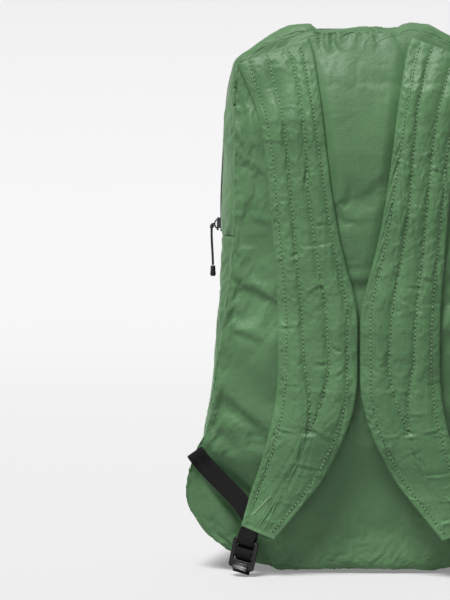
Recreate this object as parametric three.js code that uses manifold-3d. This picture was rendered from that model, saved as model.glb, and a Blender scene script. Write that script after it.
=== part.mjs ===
// Packable rucksack, filled and standing on its base.
// Two shaped panels are joined by a gusset that runs all the way round, with a zip along its upper
// half. Two wide shoulder straps hang from the top seam and meet in the middle of the back panel.
// Each ends in a ladder lock, which 15 mm webbing from the lower side seam runs through.
// Millimetres, +Z up, -Y towards the wearer, origin on the floor under the middle of the bag.
import * as THREE from "three";
import Module from "manifold-3d";

const wasm = await Module();
wasm.setup();

// Driving dimensions of the bag
const bagHeight = 444; // floor to the top edge of the panels
const bagWidth = 289; // across the flared lower corners
const bagDepth = 128; // between the two gusset seams, at the deepest
const backSwell = 18; // how far the filled back panel stands out from its seam
const frontSwell = 24; // the same for the front panel
const sideSwell = 14; // the same for the gusset, at the sides
const fabric = 1.2; // wall of every panel
const seamGap = 0.4; // between two pieces that are sewn together

// Zip
const zipWidth = 10;
const coilWidth = 5;
const coilHeight = 1.5;
const sliderLength = 11;
const sliderWidth = 9;
const sliderWall = 1.2;
const sliderAbove = 10; // from the zip's left end to the slider's middle
const bailWidth = 2.4;
const bailHeight = 3.2;
const pullCordDiameter = 2;
const pullCordLength = 35;
const gripLength = 9;
const gripWidth = 5;

// Shoulder straps
const strapWidth = 66; // at the widest, where the two straps meet
const strapThickness = 4.2; // over the quilted bands
const stitchedThickness = 2.2; // along the lines of stitching
const strapClearance = 0.8; // between the strap and the back panel at its sewn end
const strapStandOff = 21; // between the strap's free lower end and the back panel

// Webbing and ladder locks
const webbingWidth = 15;
const webbingThickness = 1.2;
const webbingClearance = 0.4;
const anchorHeight = 97; // where the webbing leaves the side seam
const tailLength = 4; // of webbing below the ladder lock
const lockWall = 3.2; // plastic on either side of the webbing
const lockThickness = 3;
const lockBar = 3;
const lockUpperSlot = 7;
const lockLowerSlot = 5;
const lockLip = 7;
const lockRound = 2;
const lipRise = 3.3; // of the lip above the lock's face
const lipTip = 1.2; // half of the lip's thickness at its edge
const lipWidth = 12.6;
const lockYaw = 20; // degrees, how far the lock faces outwards
const lockRoll = 12; // degrees, how far its foot hangs outwards
const tabLength = 9; // from the strap's end to the lock's upper bar
const tabShift = 0.22; // share of the strap's end, towards its outer edge

const degrees = Math.PI / 180;
const v3 = (x, y, z) => new THREE.Vector3(x, y, z);

function table(columns, rows) {
  return rows.map((row) => Object.fromEntries(columns.map((name, i) => [name, row[i]])));
}

// The bag's form, from the bottom edge to the top edge. up is a share of bagHeight, backHalf and
// frontHalf of half of bagWidth, backOut and frontOut of half of bagDepth, and the last three
// columns of the swells above.
const bagRows = table(
  ["up", "backHalf", "backOut", "backSwell", "frontHalf", "frontOut", "frontSwell", "sideSwell"],
  [
    [0.006, 0.43, 0.87, 0.06, 0.42, 0.85, 0.05, 0.19],
    [0.018, 0.59, 0.89, 0.17, 0.55, 0.86, 0.16, 0.34],
    [0.039, 0.74, 0.87, 0.33, 0.67, 0.88, 0.33, 0.36],
    [0.057, 0.83, 0.84, 0.45, 0.72, 0.89, 0.45, 0.36],
    [0.074, 0.89, 0.81, 0.52, 0.75, 0.91, 0.54, 0.34],
    [0.101, 0.95, 0.77, 0.62, 0.78, 0.92, 0.66, 0.3],
    [0.131, 0.993, 0.74, 0.72, 0.795, 0.94, 0.75, 0.28],
    [0.169, 0.99, 0.74, 0.83, 0.81, 0.95, 0.83, 0.28],
    [0.198, 0.968, 0.77, 0.89, 0.81, 0.97, 0.88, 0.3],
    [0.228, 0.937, 0.82, 0.94, 0.81, 0.98, 0.92, 0.34],
    [0.255, 0.887, 0.86, 1, 0.805, 0.99, 0.92, 0.42],
    [0.3, 0.845, 0.91, 1, 0.8, 1, 0.96, 0.5],
    [0.35, 0.827, 0.95, 1, 0.79, 1, 1, 0.52],
    [0.405, 0.806, 0.97, 1, 0.775, 1, 1, 0.58],
    [0.462, 0.782, 0.98, 1, 0.76, 0.98, 1, 0.68],
    [0.507, 0.758, 0.98, 1, 0.745, 0.98, 1, 0.76],
    [0.559, 0.734, 0.98, 0.95, 0.733, 0.97, 0.95, 0.84],
    [0.62, 0.716, 0.98, 0.92, 0.713, 0.95, 0.92, 0.93],
    [0.7, 0.713, 0.98, 0.88, 0.7, 0.92, 0.88, 1],
    [0.79, 0.713, 0.95, 0.78, 0.685, 0.88, 0.75, 0.93],
    [0.868, 0.716, 0.91, 0.62, 0.672, 0.81, 0.58, 0.8],
    [0.912, 0.713, 0.86, 0.5, 0.65, 0.77, 0.46, 0.72],
    [0.946, 0.692, 0.81, 0.34, 0.616, 0.72, 0.33, 0.6],
    [0.965, 0.623, 0.78, 0.25, 0.554, 0.69, 0.25, 0.42],
    [0.982, 0.519, 0.76, 0.17, 0.457, 0.66, 0.19, 0.38],
    [0.994, 0.4, 0.74, 0.11, 0.353, 0.65, 0.12, 0.4],
    [1, 0.29, 0.735, 0.06, 0.256, 0.64, 0.08, 0.34],
  ],
);
const panelCrown = 2.6; // power of the panels' curve from seam to seam
const gussetCrown = 3;
const gussetRise = 1.14; // above 1, the gusset is flat between its rounded edges
const columns = 18; // cells across a panel
const lastRow = bagRows.length - 1;

// Main folds of the back panel. from and to are shares of half of bagWidth and of bagHeight, width
// of bagWidth, and depth of backSwell, positive for a dent and negative for a ridge.
const backFolds = table(
  ["fromAcross", "fromUp", "toAcross", "toUp", "width", "depth"],
  [
    [-0.86, 0.29, -0.66, 0.15, 0.05, 0.2],
    [-0.8, 0.23, -0.6, 0.1, 0.045, 0.16],
    [-0.78, 0.4, -0.5, 0.33, 0.05, 0.17],
    [-0.7, 0.53, -0.47, 0.49, 0.045, 0.14],
    [-0.66, 0.86, -0.5, 0.9, 0.05, 0.16],
    [0.86, 0.28, 0.6, 0.12, 0.05, 0.2],
    [0.76, 0.42, 0.5, 0.36, 0.05, 0.17],
    [0.68, 0.56, 0.48, 0.51, 0.045, 0.14],
    [0.2, 0.2, 0.42, 0.14, 0.05, 0.12],
  ],
);
// Main folds of the front panel, with depth a share of frontSwell.
const frontFolds = table(
  ["fromAcross", "fromUp", "toAcross", "toUp", "width", "depth"],
  [
    [-0.7, 0.3, -0.3, 0.2, 0.06, 0.14],
    [0.72, 0.36, 0.25, 0.27, 0.06, 0.14],
    [-0.62, 0.66, -0.2, 0.6, 0.06, 0.1],
    [0.6, 0.8, 0.25, 0.7, 0.06, 0.1],
  ],
);

// Depth of the folds at one point of a panel, faded out towards its seams.
function foldDepth(folds, x, z, share, rowShare) {
  const fade = (1 - share ** 8) * Math.min(1, 8 * rowShare) * Math.min(1, 8 * (1 - rowShare));
  let depth = 0;
  for (const fold of folds) {
    const from = new THREE.Vector2((fold.fromAcross * bagWidth) / 2, fold.fromUp * bagHeight);
    const to = new THREE.Vector2((fold.toAcross * bagWidth) / 2, fold.toUp * bagHeight);
    const along = to.clone().sub(from);
    const here = new THREE.Vector2(x, z).sub(from);
    const t = THREE.MathUtils.clamp(here.dot(along) / along.lengthSq(), 0, 1);
    const away = here.sub(along.multiplyScalar(t)).length() / (fold.width * bagWidth);
    depth += fold.depth * Math.exp(-away * away);
  }
  return depth * fade;
}

// A point of a panel: row may lie between two rows, and share is -1 at its left seam, 1 at its right.
function panelPoint(back, row, share) {
  const low = Math.min(lastRow - 1, Math.floor(row));
  const mix = (name) => THREE.MathUtils.lerp(bagRows[low][name], bagRows[low + 1][name], row - low);
  const z = mix("up") * bagHeight;
  const x = ((share * bagWidth) / 2) * mix(back ? "backHalf" : "frontHalf");
  const crown = 1 - Math.abs(share) ** panelCrown;
  const seam = (mix(back ? "backOut" : "frontOut") * bagDepth) / 2;
  const swell = (back ? backSwell : frontSwell) * mix(back ? "backSwell" : "frontSwell") * crown;
  const folds = foldDepth(back ? backFolds : frontFolds, x, z, share, row / lastRow);
  const out = seam + swell - folds * (back ? backSwell : frontSwell);
  return v3(x, back ? -out : out, z);
}

// The back panel's outer surface at a place given by x and z, held to the panel's outline.
function onBack(x, z) {
  const up = THREE.MathUtils.clamp(z / bagHeight, bagRows[0].up, 1);
  let low = 0;
  while (low < lastRow - 1 && bagRows[low + 1].up < up) low += 1;
  const row = low + (up - bagRows[low].up) / (bagRows[low + 1].up - bagRows[low].up);
  const half = panelPoint(true, row, 1).x;
  return panelPoint(true, row, THREE.MathUtils.clamp(x / half, -1, 1));
}

// The stations of the gusset, once round the bag from the left end of the bottom edge.
const stations = [];
for (let c = 0; c < columns; c++) stations.push({ row: 0, share: (2 * c) / columns - 1 });
for (let r = 0; r < lastRow; r++) stations.push({ row: r, share: 1 });
for (let c = columns; c > 0; c--) stations.push({ row: lastRow, share: (2 * c) / columns - 1 });
for (let r = lastRow; r > 0; r--) stations.push({ row: r, share: -1 });

function seamPoints(station) {
  const { row, share } = station;
  return [panelPoint(true, row, share), panelPoint(false, row, share)];
}

const middles = stations.map((s) => {
  const [back, front] = seamPoints(s);
  return back.add(front).multiplyScalar(0.5);
});

// The direction in which the gusset swells at a station: square to the bag's outline.
function outward(i) {
  const count = stations.length;
  const next = middles[(i + 1) % count];
  const before = middles[(i + count - 1) % count];
  return v3(next.z - before.z, 0, before.x - next.x).normalize();
}

// A point of the gusset: across is 0 at the back seam and 1 at the front seam.
function gussetPoint(i, across) {
  const index = (i + stations.length) % stations.length;
  const [back, front] = seamPoints(stations[index]);
  const crown = Math.min(1, gussetRise * (1 - Math.abs(2 * across - 1) ** gussetCrown));
  const swell = bagRows[stations[index].row].sideSwell * sideSwell * crown;
  const point = back.lerp(front, across).addScaledVector(outward(index), swell);
  point.z = Math.max(0, point.z);
  return point;
}

// The zip runs near the middle of the gusset, and drifts forwards down the sides.
const rowFrom = (share) => bagRows.findIndex(({ up }) => up >= share);
const zipEndRow = rowFrom(0.62);
const zipDriftRow = rowFrom(0.94); // above this row the zip keeps to the middle
const zipTopAcross = 0.5;
const zipEndAcross = 0.56;
function zipMiddle(i) {
  const { row } = stations[(i + stations.length) % stations.length];
  const down = 1 - THREE.MathUtils.smoothstep(row, zipEndRow, zipDriftRow);
  return THREE.MathUtils.lerp(zipTopAcross, zipEndAcross, down);
}
const gussetSteps = [0, 0.1, 0.22, -0.5, 0.5, 0.78, 0.9, 1];
function gussetShare(i, step) {
  const value = gussetSteps[step];
  if (Math.abs(value) !== 0.5) return value;
  const [back, front] = seamPoints(stations[(i + stations.length) % stations.length]);
  return zipMiddle(i) + (value * zipWidth) / back.distanceTo(front);
}

// Grids of the outer surface, as lists of rows of points
const range = (from, to) => Array.from({ length: to - from + 1 }, (_, i) => from + i);
const panelGrid = (back) =>
  range(0, lastRow).map((row) =>
    range(0, columns).map((c) => panelPoint(back, row, (2 * c) / columns - 1)),
  );
const gussetGrid = (from, to, firstStep, lastStep) =>
  range(from, to).map((i) => range(firstStep, lastStep).map((s) => gussetPoint(i, gussetShare(i, s))));

// Normals of the whole closed skin, so that neighbouring panels have one mitre along their seam
const skinNormals = new Map();
const keyOf = (p) => [p.x, p.y, p.z].map((n) => Math.round(n * 1000)).join();
const skinCentre = v3(0, 0, bagHeight / 2);

function cellNormal(grid, r, c) {
  const across = grid[r + 1][c + 1].clone().sub(grid[r][c]);
  const other = grid[r][c + 1].clone().sub(grid[r + 1][c]);
  const normal = across.cross(other);
  return normal.dot(grid[r][c].clone().sub(skinCentre)) < 0 ? normal.negate() : normal;
}

function addNormals(grid) {
  for (let r = 0; r + 1 < grid.length; r++)
    for (let c = 0; c + 1 < grid[0].length; c++) {
      const normal = cellNormal(grid, r, c).normalize();
      for (const p of [grid[r][c], grid[r + 1][c], grid[r][c + 1], grid[r + 1][c + 1]]) {
        if (!skinNormals.has(keyOf(p))) skinNormals.set(keyOf(p), []);
        skinNormals.get(keyOf(p)).push(normal);
      }
    }
}

// The same point moved along the skin's normal, with the mitre's extra length at a seam.
function offset(p, distance) {
  const around = skinNormals.get(keyOf(p));
  const mean = around.reduce((sum, n) => sum.add(n), v3(0, 0, 0)).normalize();
  const least = around.reduce((low, n) => Math.min(low, n.dot(mean)), 1);
  return p.clone().addScaledVector(mean, distance / Math.max(0.7, least));
}

// Draws the grid's border in by half of the seam gap.
function trimmed(grid) {
  const rows = grid.length - 1;
  const cols = grid[0].length - 1;
  const inwards = (value, last) => (value === 0 ? 1 : value === last ? last - 1 : value);
  const step = (p, q) => q.clone().sub(p).setLength(Math.min(seamGap / 2, p.distanceTo(q) / 3));
  return grid.map((line, r) =>
    line.map((p, c) => {
      const moved = p.clone();
      if (inwards(r, rows) !== r) moved.add(step(p, grid[inwards(r, rows)][c]));
      if (inwards(c, cols) !== c) moved.add(step(p, line[inwards(c, cols)]));
      return moved;
    }),
  );
}

// A closed solid from triangles of points, with its faces turned outwards.
function closedGeometry(triangles) {
  const volume = triangles.reduce((sum, [a, b, c]) => sum + a.dot(b.clone().cross(c)), 0);
  const facing = volume < 0 ? triangles.map(([a, b, c]) => [a, c, b]) : triangles;
  const geometry = new THREE.BufferGeometry().setFromPoints(facing.flat());
  geometry.computeVertexNormals();
  return geometry;
}

const quad = (a, b, c, d) => [
  [a, b, c],
  [a, c, d],
];

// A wall between two grids of the same size: outer and inner faces, closed round the border.
function wallGeometry(outer, inner) {
  const rows = outer.length - 1;
  const cols = outer[0].length - 1;
  const triangles = [];
  for (let r = 0; r < rows; r++)
    for (let c = 0; c < cols; c++) {
      triangles.push(...quad(outer[r][c], outer[r + 1][c], outer[r + 1][c + 1], outer[r][c + 1]));
      triangles.push(...quad(inner[r][c], inner[r][c + 1], inner[r + 1][c + 1], inner[r + 1][c]));
    }
  for (let r = 0; r < rows; r++)
    for (const [c, flip] of [[0, false], [cols, true]]) {
      const ring = [outer[r][c], inner[r][c], inner[r + 1][c], outer[r + 1][c]];
      triangles.push(...quad(...(flip ? ring.reverse() : ring)));
    }
  for (let c = 0; c < cols; c++)
    for (const [r, flip] of [[0, true], [rows, false]]) {
      const ring = [outer[r][c], inner[r][c], inner[r][c + 1], outer[r][c + 1]];
      triangles.push(...quad(...(flip ? ring.reverse() : ring)));
    }
  return closedGeometry(triangles);
}

const panelWall = (grid) =>
  wallGeometry(trimmed(grid), trimmed(grid.map((line) => line.map((p) => offset(p, -fabric)))));

// A strap of rectangular section through sections of centre c, width direction w and facing n.
function ribbonGeometry(sections, width, thickness) {
  const rings = sections.map(({ c, w, n }) =>
    [[-1, -1], [1, -1], [1, 1], [-1, 1]].map(([a, b]) =>
      c.clone().addScaledVector(w, (a * width) / 2).addScaledVector(n, (b * thickness) / 2),
    ),
  );
  const triangles = [];
  for (let i = 0; i + 1 < rings.length; i++)
    for (let k = 0; k < 4; k++) {
      const next = (k + 1) % 4;
      triangles.push(...quad(rings[i][k], rings[i][next], rings[i + 1][next], rings[i + 1][k]));
    }
  triangles.push(...quad(...rings[0].slice().reverse()), ...quad(...rings.at(-1)));
  return closedGeometry(triangles);
}

// Solids, to join the pieces of one moulding
function toSolid(geometry) {
  const corners = geometry.index ? geometry.toNonIndexed() : geometry;
  const ids = new Map();
  const vertProperties = [];
  const triVerts = [];
  const position = corners.getAttribute("position");
  for (let i = 0; i < position.count; i++) {
    const p = v3().fromBufferAttribute(position, i);
    if (!ids.has(keyOf(p))) {
      ids.set(keyOf(p), ids.size);
      vertProperties.push(p.x, p.y, p.z);
    }
    triVerts.push(ids.get(keyOf(p)));
  }
  return new wasm.Manifold(
    new wasm.Mesh({
      numProp: 3,
      vertProperties: Float32Array.from(vertProperties),
      triVerts: Uint32Array.from(triVerts),
    }),
  );
}

function fromSolid(solid) {
  const mesh = solid.getMesh();
  const geometry = new THREE.BufferGeometry();
  geometry.setAttribute("position", new THREE.BufferAttribute(mesh.vertProperties, 3));
  geometry.setIndex(new THREE.BufferAttribute(mesh.triVerts, 1));
  return geometry.toNonIndexed();
}

// Materials
const cloth = (color) => new THREE.MeshStandardMaterial({ color, roughness: 0.55, metalness: 0 });
const ripstop = cloth(0x54744f);
const strapCloth = cloth(0x5b7b57);
const black = (roughness) =>
  new THREE.MeshStandardMaterial({ color: 0x1b191b, roughness, metalness: 0 });
const webbing = black(0.8);
const moulded = black(0.4);
const zipBlack = black(0.6);

const bag = new THREE.Group();
function add(name, geometry, material) {
  const mesh = new THREE.Mesh(geometry, material);
  mesh.name = name;
  bag.add(mesh);
  return mesh;
}
// A left piece and its mirror image across the bag's middle plane. make builds either one in the
// left one's place, and is told which side of the bag it lies on: -1 for left, 1 for right.
function addPair(name, make, material) {
  add(name + "_left", make(-1), material);
  add(name + "_right", make(1), material).scale.x = -1;
}
// The back panel's surface under a place of such a piece
function backUnder(side, x, z) {
  const point = onBack(-side * x, z);
  point.x *= -side;
  return point;
}

// Panels and gussets
const zipEndLeft = stations.findIndex((s) => s.row === zipEndRow && s.share === -1);
const zipEndRight = stations.findIndex((s) => s.row === zipEndRow && s.share === 1);
const wholeGusset = gussetGrid(0, stations.length, 0, gussetSteps.length - 1);
const backGrid = panelGrid(true);
const frontGrid = panelGrid(false);
for (const grid of [backGrid, frontGrid, wholeGusset]) addNormals(grid);

add("back_panel", panelWall(backGrid), ripstop);
add("front_panel", panelWall(frontGrid), ripstop);
const lowerGrid = gussetGrid(zipEndLeft - stations.length, zipEndRight, 0, gussetSteps.length - 1);
add("lower_gusset", panelWall(lowerGrid), ripstop);
add("rear_gusset_strip", panelWall(gussetGrid(zipEndRight, zipEndLeft, 0, 3)), ripstop);
add("front_gusset_strip", panelWall(gussetGrid(zipEndRight, zipEndLeft, 4, 7)), ripstop);

// Zip: the tape fills the slot between the strips, and the coil lies along its middle.
const zipGrid = gussetGrid(zipEndRight, zipEndLeft, 3, 4);
add("zip_tape", panelWall(zipGrid), zipBlack);

// The zip's frame at a station: its middle, the way round the bag, outwards and across
function zipFrame(i) {
  const at = (k) => {
    const grid = gussetGrid(k, k, 3, 4)[0];
    return grid[0].clone().lerp(grid[1], 0.5);
  };
  const c = at(i);
  const [first, last] = gussetGrid(i, i, 3, 4)[0];
  const w = last.clone().sub(first).normalize();
  const along = at(Math.min(zipEndLeft, i + 1)).sub(at(Math.max(zipEndRight, i - 1)));
  const t = along.addScaledVector(w, -along.dot(w)).normalize();
  const n = v3().crossVectors(w, t);
  if (n.dot(outward(i)) < 0) n.negate();
  return { c, w, t, n };
}
const coilLift = seamGap + coilHeight / 2;
const coilFrames = range(zipEndRight, zipEndLeft).map((i) => {
  const { c, w, n } = zipFrame(i);
  return { c: c.addScaledVector(n, coilLift), w, n };
});
const coilEndIn = seamGap; // the coil stops this far inside the tape's ends
for (const [end, next] of [[0, 1], [coilFrames.length - 1, coilFrames.length - 2]]) {
  const inward = coilFrames[next].c.clone().sub(coilFrames[end].c).setLength(coilEndIn);
  coilFrames[end].c.add(inward);
}
add("zip_coil", ribbonGeometry(coilFrames, coilWidth, coilHeight), zipBlack);

// Slider: a channel over the coil, with a bail for the pull. Its own frame has x across the coil,
// y along it, and z outwards.
const sliderPlay = 2 * seamGap; // round the coil
const sliderRoof = coilHeight + sliderPlay;
function sliderGeometry() {
  const inner = (coilWidth + sliderPlay) / 2;
  const half = sliderWidth / 2;
  const corners = [
    [-half, 0],
    [-inner, 0],
    [-inner, sliderRoof],
    [inner, sliderRoof],
    [inner, 0],
    [half, 0],
    [half, sliderRoof + sliderWall],
    [-half, sliderRoof + sliderWall],
  ];
  const channel = new THREE.Shape(corners.map(([x, y]) => new THREE.Vector2(x, y)));
  const body = new THREE.ExtrudeGeometry(channel, { depth: sliderLength, bevelEnabled: false });
  body.translate(0, 0, -sliderLength / 2).rotateX(Math.PI / 2);
  const archSteps = 8;
  const arch = (rx, ry) =>
    range(0, archSteps).map((i) => {
      const angle = (Math.PI * i) / archSteps;
      return new THREE.Vector2(rx * Math.cos(angle), ry * Math.sin(angle));
    });
  const reach = sliderLength / 2 - sliderWall;
  const hollow = arch(reach - sliderWall, bailHeight - sliderWall).reverse();
  const ring = new THREE.Shape([...arch(reach, bailHeight), ...hollow]);
  const bail = new THREE.ExtrudeGeometry(ring, { depth: bailWidth, bevelEnabled: false });
  bail.translate(0, 0, -bailWidth / 2).rotateX(Math.PI / 2).rotateZ(Math.PI / 2);
  bail.translate(0, 0, sliderRoof + sliderWall - seamGap);
  return fromSolid(toSolid(body).add(toSolid(bail)));
}

// The slider rides just above the zip's left end, its feet a seam gap off the tape.
const sliderAt = zipFrame(zipEndLeft - 1);
const zipEnd = zipFrame(zipEndLeft).c;
sliderAt.c.lerp(zipEnd, 1 - sliderAbove / sliderAt.c.distanceTo(zipEnd));
const sliderBasis = new THREE.Matrix4().makeBasis(sliderAt.w, sliderAt.t, sliderAt.n);
if (sliderBasis.determinant() < 0) {
  sliderAt.t.negate();
  sliderBasis.makeBasis(sliderAt.w, sliderAt.t, sliderAt.n);
}
const sliderFoot = sliderAt.c.clone().addScaledVector(sliderAt.n, seamGap);
const slider = sliderGeometry();
slider.applyMatrix4(sliderBasis.setPosition(sliderFoot));
add("zip_slider", slider, zipBlack);

// Pull: a short cord that hangs from the bail, and a moulded grip on its end. The cord's route is
// measured from the bail's crest in millimetres sideways, and down in shares of its length.
const bailTop = sliderRoof + sliderWall - seamGap + bailHeight;
const pullReach = bailTop + seamGap + pullCordDiameter / 2;
const pullStart = sliderFoot.clone().addScaledVector(sliderAt.n, pullReach);
const pullRoute = table(
  ["x", "y", "down"],
  [
    [0, 0, 0],
    [-0.5, 0, 0.1],
    [-0.6, 0.2, 0.26],
    [-0.4, 0.5, 0.46],
    [0, 0.7, 0.65],
    [0.3, 0.6, 0.82],
    [0.5, 0.5, 1],
  ],
).map(({ x, y, down }) => pullStart.clone().add(v3(x, y, -down * pullCordLength)));
const cordSides = 8;
const cordSection = new THREE.Shape(
  range(0, cordSides - 1).map((i) => {
    const angle = (2 * Math.PI * i) / cordSides;
    const radius = pullCordDiameter / 2;
    return new THREE.Vector2(radius * Math.cos(angle), radius * Math.sin(angle));
  }),
);
const pullCord = new THREE.ExtrudeGeometry(cordSection, {
  steps: 8,
  bevelEnabled: false,
  extrudePath: new THREE.CatmullRomCurve3(pullRoute),
});
add("zip_pull_cord", pullCord, webbing);

const gripProfile = table(
  ["across", "down"],
  [
    [0, 1],
    [0.44, 0.95],
    [0.5, 0.8],
    [0.42, 0.45],
    [0.5, 0.08],
    [0.42, 0],
    [0, 0],
  ],
).map(({ across, down }) => new THREE.Vector2(across * gripWidth, -down * gripLength));
const gripTop = pullRoute.at(-1).clone().add(v3(0, 0, -seamGap));
const gripSides = 12;
const grip = new THREE.LatheGeometry(gripProfile, gripSides).rotateX(Math.PI / 2);
add("zip_pull_grip", grip.translate(gripTop.x, gripTop.y, gripTop.z), moulded);

// Shoulder straps, as the left one. up is a share of bagHeight, inner of half of bagWidth, wide of
// strapWidth, and off of strapStandOff. slant is in degrees, negative where the outer edge is lower.
const strapRows = table(
  ["up", "inner", "wide", "slant", "off"],
  [
    [0.994, 0.29, 0.94, -20.5, 0],
    [0.96, 0.258, 0.915, -16.5, 0],
    [0.912, 0.235, 0.85, -11.5, 0],
    [0.868, 0.215, 0.8, -8, 0.01],
    [0.813, 0.194, 0.77, -5, 0.01],
    [0.76, 0.174, 0.765, -3, 0.02],
    [0.703, 0.151, 0.78, -1.5, 0.03],
    [0.642, 0.119, 0.815, -0.5, 0.03],
    [0.588, 0.082, 0.87, 0, 0.04],
    [0.541, 0.043, 0.93, 0, 0.05],
    [0.493, 0.01, 0.98, 0, 0.07],
    [0.444, 0.007, 0.98, 1, 0.1],
    [0.392, 0.007, 0.98, 2.5, 0.15],
    [0.342, 0.012, 0.985, 5, 0.25],
    [0.291, 0.048, 0.95, 7, 0.4],
    [0.236, 0.115, 0.885, 9.5, 0.6],
    [0.181, 0.205, 0.79, 12, 0.85],
    [0.138, 0.306, 0.675, 13.5, 1],
    [0.102, 0.396, 0.55, 16, 1.04],
    [0.071, 0.474, 0.445, 21, 1.05],
  ],
);
// Across the strap from its inner edge: the lines of stitching and the puffed bands between them
const strapAcross = table(
  ["share", "stitched", "throughout"],
  [
    [0, true, true],
    [0.13, true, true],
    [0.235, false, true],
    [0.34, true, false],
    [0.48, false, true],
    [0.62, true, false],
    [0.745, false, true],
    [0.87, true, true],
    [1, true, true],
  ],
);
// The two inner lines of stitching end in a point below this row.
const quiltedRow = strapRows.findIndex(({ up }) => up < 0.3);

function strapPoint(side, row, share, lift) {
  const { up, inner, wide, slant, off } = strapRows[row];
  const reach = wide * strapWidth * share;
  const x = -((inner * bagWidth) / 2 + reach * Math.cos(slant * degrees));
  const z = up * bagHeight + reach * Math.sin(slant * degrees);
  const y = backUnder(side, x, z).y - strapClearance - off * strapStandOff - lift;
  return v3(x, y, z);
}
const lastStrapRow = strapRows.length - 1;
function strapGrid(side, outer) {
  return range(0, lastStrapRow).map((row) =>
    strapAcross.map(({ share, stitched, throughout }) => {
      const hem = row === lastStrapRow || row === 0;
      const thin = hem || (stitched && (throughout || row <= quiltedRow));
      const thickness = thin ? stitchedThickness : strapThickness;
      return strapPoint(side, row, share, outer ? thickness : 0);
    }),
  );
}
const strapGeometry = (side) => wallGeometry(strapGrid(side, true), strapGrid(side, false));
addPair("shoulder_strap", strapGeometry, strapCloth);

// Ladder lock, in its own frame: x across, y up from its upper edge, and z the way it faces
const slotWidth = webbingWidth + 2 * webbingClearance;
const lockWidth = slotWidth + 2 * lockWall;
const upperSlotEnd = lockBar + lockUpperSlot;
const lowerSlotStart = upperSlotEnd + lockBar;
const lowerSlotEnd = lowerSlotStart + lockLowerSlot;
const lockLength = lowerSlotEnd + lockLip;

function lockGeometry() {
  const half = lockWidth / 2;
  const plate = new THREE.Shape();
  plate.moveTo(-half + lockRound, 0);
  plate.absarc(-half + lockRound, -lockRound, lockRound, Math.PI / 2, Math.PI);
  plate.absarc(-half + lockRound, -lockLength + lockRound, lockRound, Math.PI, 1.5 * Math.PI);
  plate.absarc(half - lockRound, -lockLength + lockRound, lockRound, 1.5 * Math.PI, 2 * Math.PI);
  plate.absarc(half - lockRound, -lockRound, lockRound, 0, Math.PI / 2);
  for (const [from, to] of [[lockBar, upperSlotEnd], [lowerSlotStart, lowerSlotEnd]]) {
    const slot = new THREE.Path();
    slot.moveTo(-slotWidth / 2, -from);
    slot.lineTo(slotWidth / 2, -from);
    slot.lineTo(slotWidth / 2, -to);
    slot.lineTo(-slotWidth / 2, -to);
    slot.closePath();
    plate.holes.push(slot);
  }
  const options = { depth: lockThickness, bevelEnabled: false, curveSegments: 3 };
  const body = new THREE.ExtrudeGeometry(plate, options).translate(0, 0, -lockThickness / 2);
  // The lip is a wedge that turns up from the lowest bar, to lift the lock by.
  const lipHeight = lockThickness / 2 + lipRise;
  const corners = [
    [-lowerSlotEnd - lipTip, 0],
    [-lockLength, 0],
    [-lockLength - lipTip, lipHeight],
    [-lockLength + lipTip, lipHeight],
  ];
  const wedge = new THREE.Shape(corners.map(([y, z]) => new THREE.Vector2(y, z)));
  const lip = new THREE.ExtrudeGeometry(wedge, { depth: lipWidth, bevelEnabled: false });
  lip.translate(0, 0, -lipWidth / 2);
  lip.applyMatrix4(new THREE.Matrix4().makeBasis(v3(0, 1, 0), v3(0, 0, 1), v3(1, 0, 0)));
  return fromSolid(toSolid(body).add(toSolid(lip)));
}

// Where the lock hangs: in line below the strap's end, turned a little outwards
const [yaw, roll] = [lockYaw * degrees, lockRoll * degrees];
const lockDown = v3(
  -Math.sin(roll) * Math.cos(yaw),
  Math.sin(roll) * Math.sin(yaw),
  -Math.cos(roll),
);
const lockAcross = v3(
  Math.cos(roll) * Math.cos(yaw),
  -Math.cos(roll) * Math.sin(yaw),
  -Math.sin(roll),
);
const lockFacing = v3(-Math.sin(yaw), -Math.cos(yaw), 0);
const tabShare = 0.5 + tabShift; // across the strap's end, from its inner edge
const strapEnd = strapPoint(-1, lastStrapRow, tabShare, stitchedThickness / 2);
const endInner = strapPoint(-1, lastStrapRow, 0, 0);
const endEdge = endInner.sub(strapPoint(-1, lastStrapRow, 1, 0)).normalize();
const endDown = v3(endEdge.z, 0, -endEdge.x).normalize();
const lockTop = strapEnd.clone().addScaledVector(endDown, tabLength);

// A section of webbing in the lock's frame: down its length, and out the way it faces
function lockSection(down, out) {
  const c = lockTop.clone().addScaledVector(lockDown, down).addScaledVector(lockFacing, out);
  return { c, w: lockAcross };
}
// Gives each section its facing, square to its width and to the path through its neighbours.
function faced(sections) {
  return sections.map((section, i) => {
    if (section.n) return section;
    const next = sections[Math.min(i + 1, sections.length - 1)].c;
    const before = sections[Math.max(i - 1, 0)].c;
    const along = next.clone().sub(before).normalize();
    const w = section.w.clone().addScaledVector(along, -section.w.dot(along)).normalize();
    return { c: section.c, w, n: v3().crossVectors(along, w).normalize() };
  });
}

const lockPlace = new THREE.Matrix4().makeBasis(lockAcross, lockDown.clone().negate(), lockFacing);
const lock = lockGeometry().applyMatrix4(lockPlace.setPosition(lockTop));
addPair("ladder_lock", () => lock, moulded);

// Strap tab: a loop of webbing from the strap's end round the lock's upper bar
const barReach = lockThickness / 2 + webbingClearance + webbingThickness / 2;
const strandReach = (webbingThickness + seamGap) / 2;
const tabPath = [
  [-tabLength / 3, (strandReach + 2 * barReach) / 3],
  [-webbingThickness, barReach],
  [lockBar, barReach],
  [lockBar + webbingClearance + webbingThickness / 2, lockThickness / 2],
];
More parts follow.
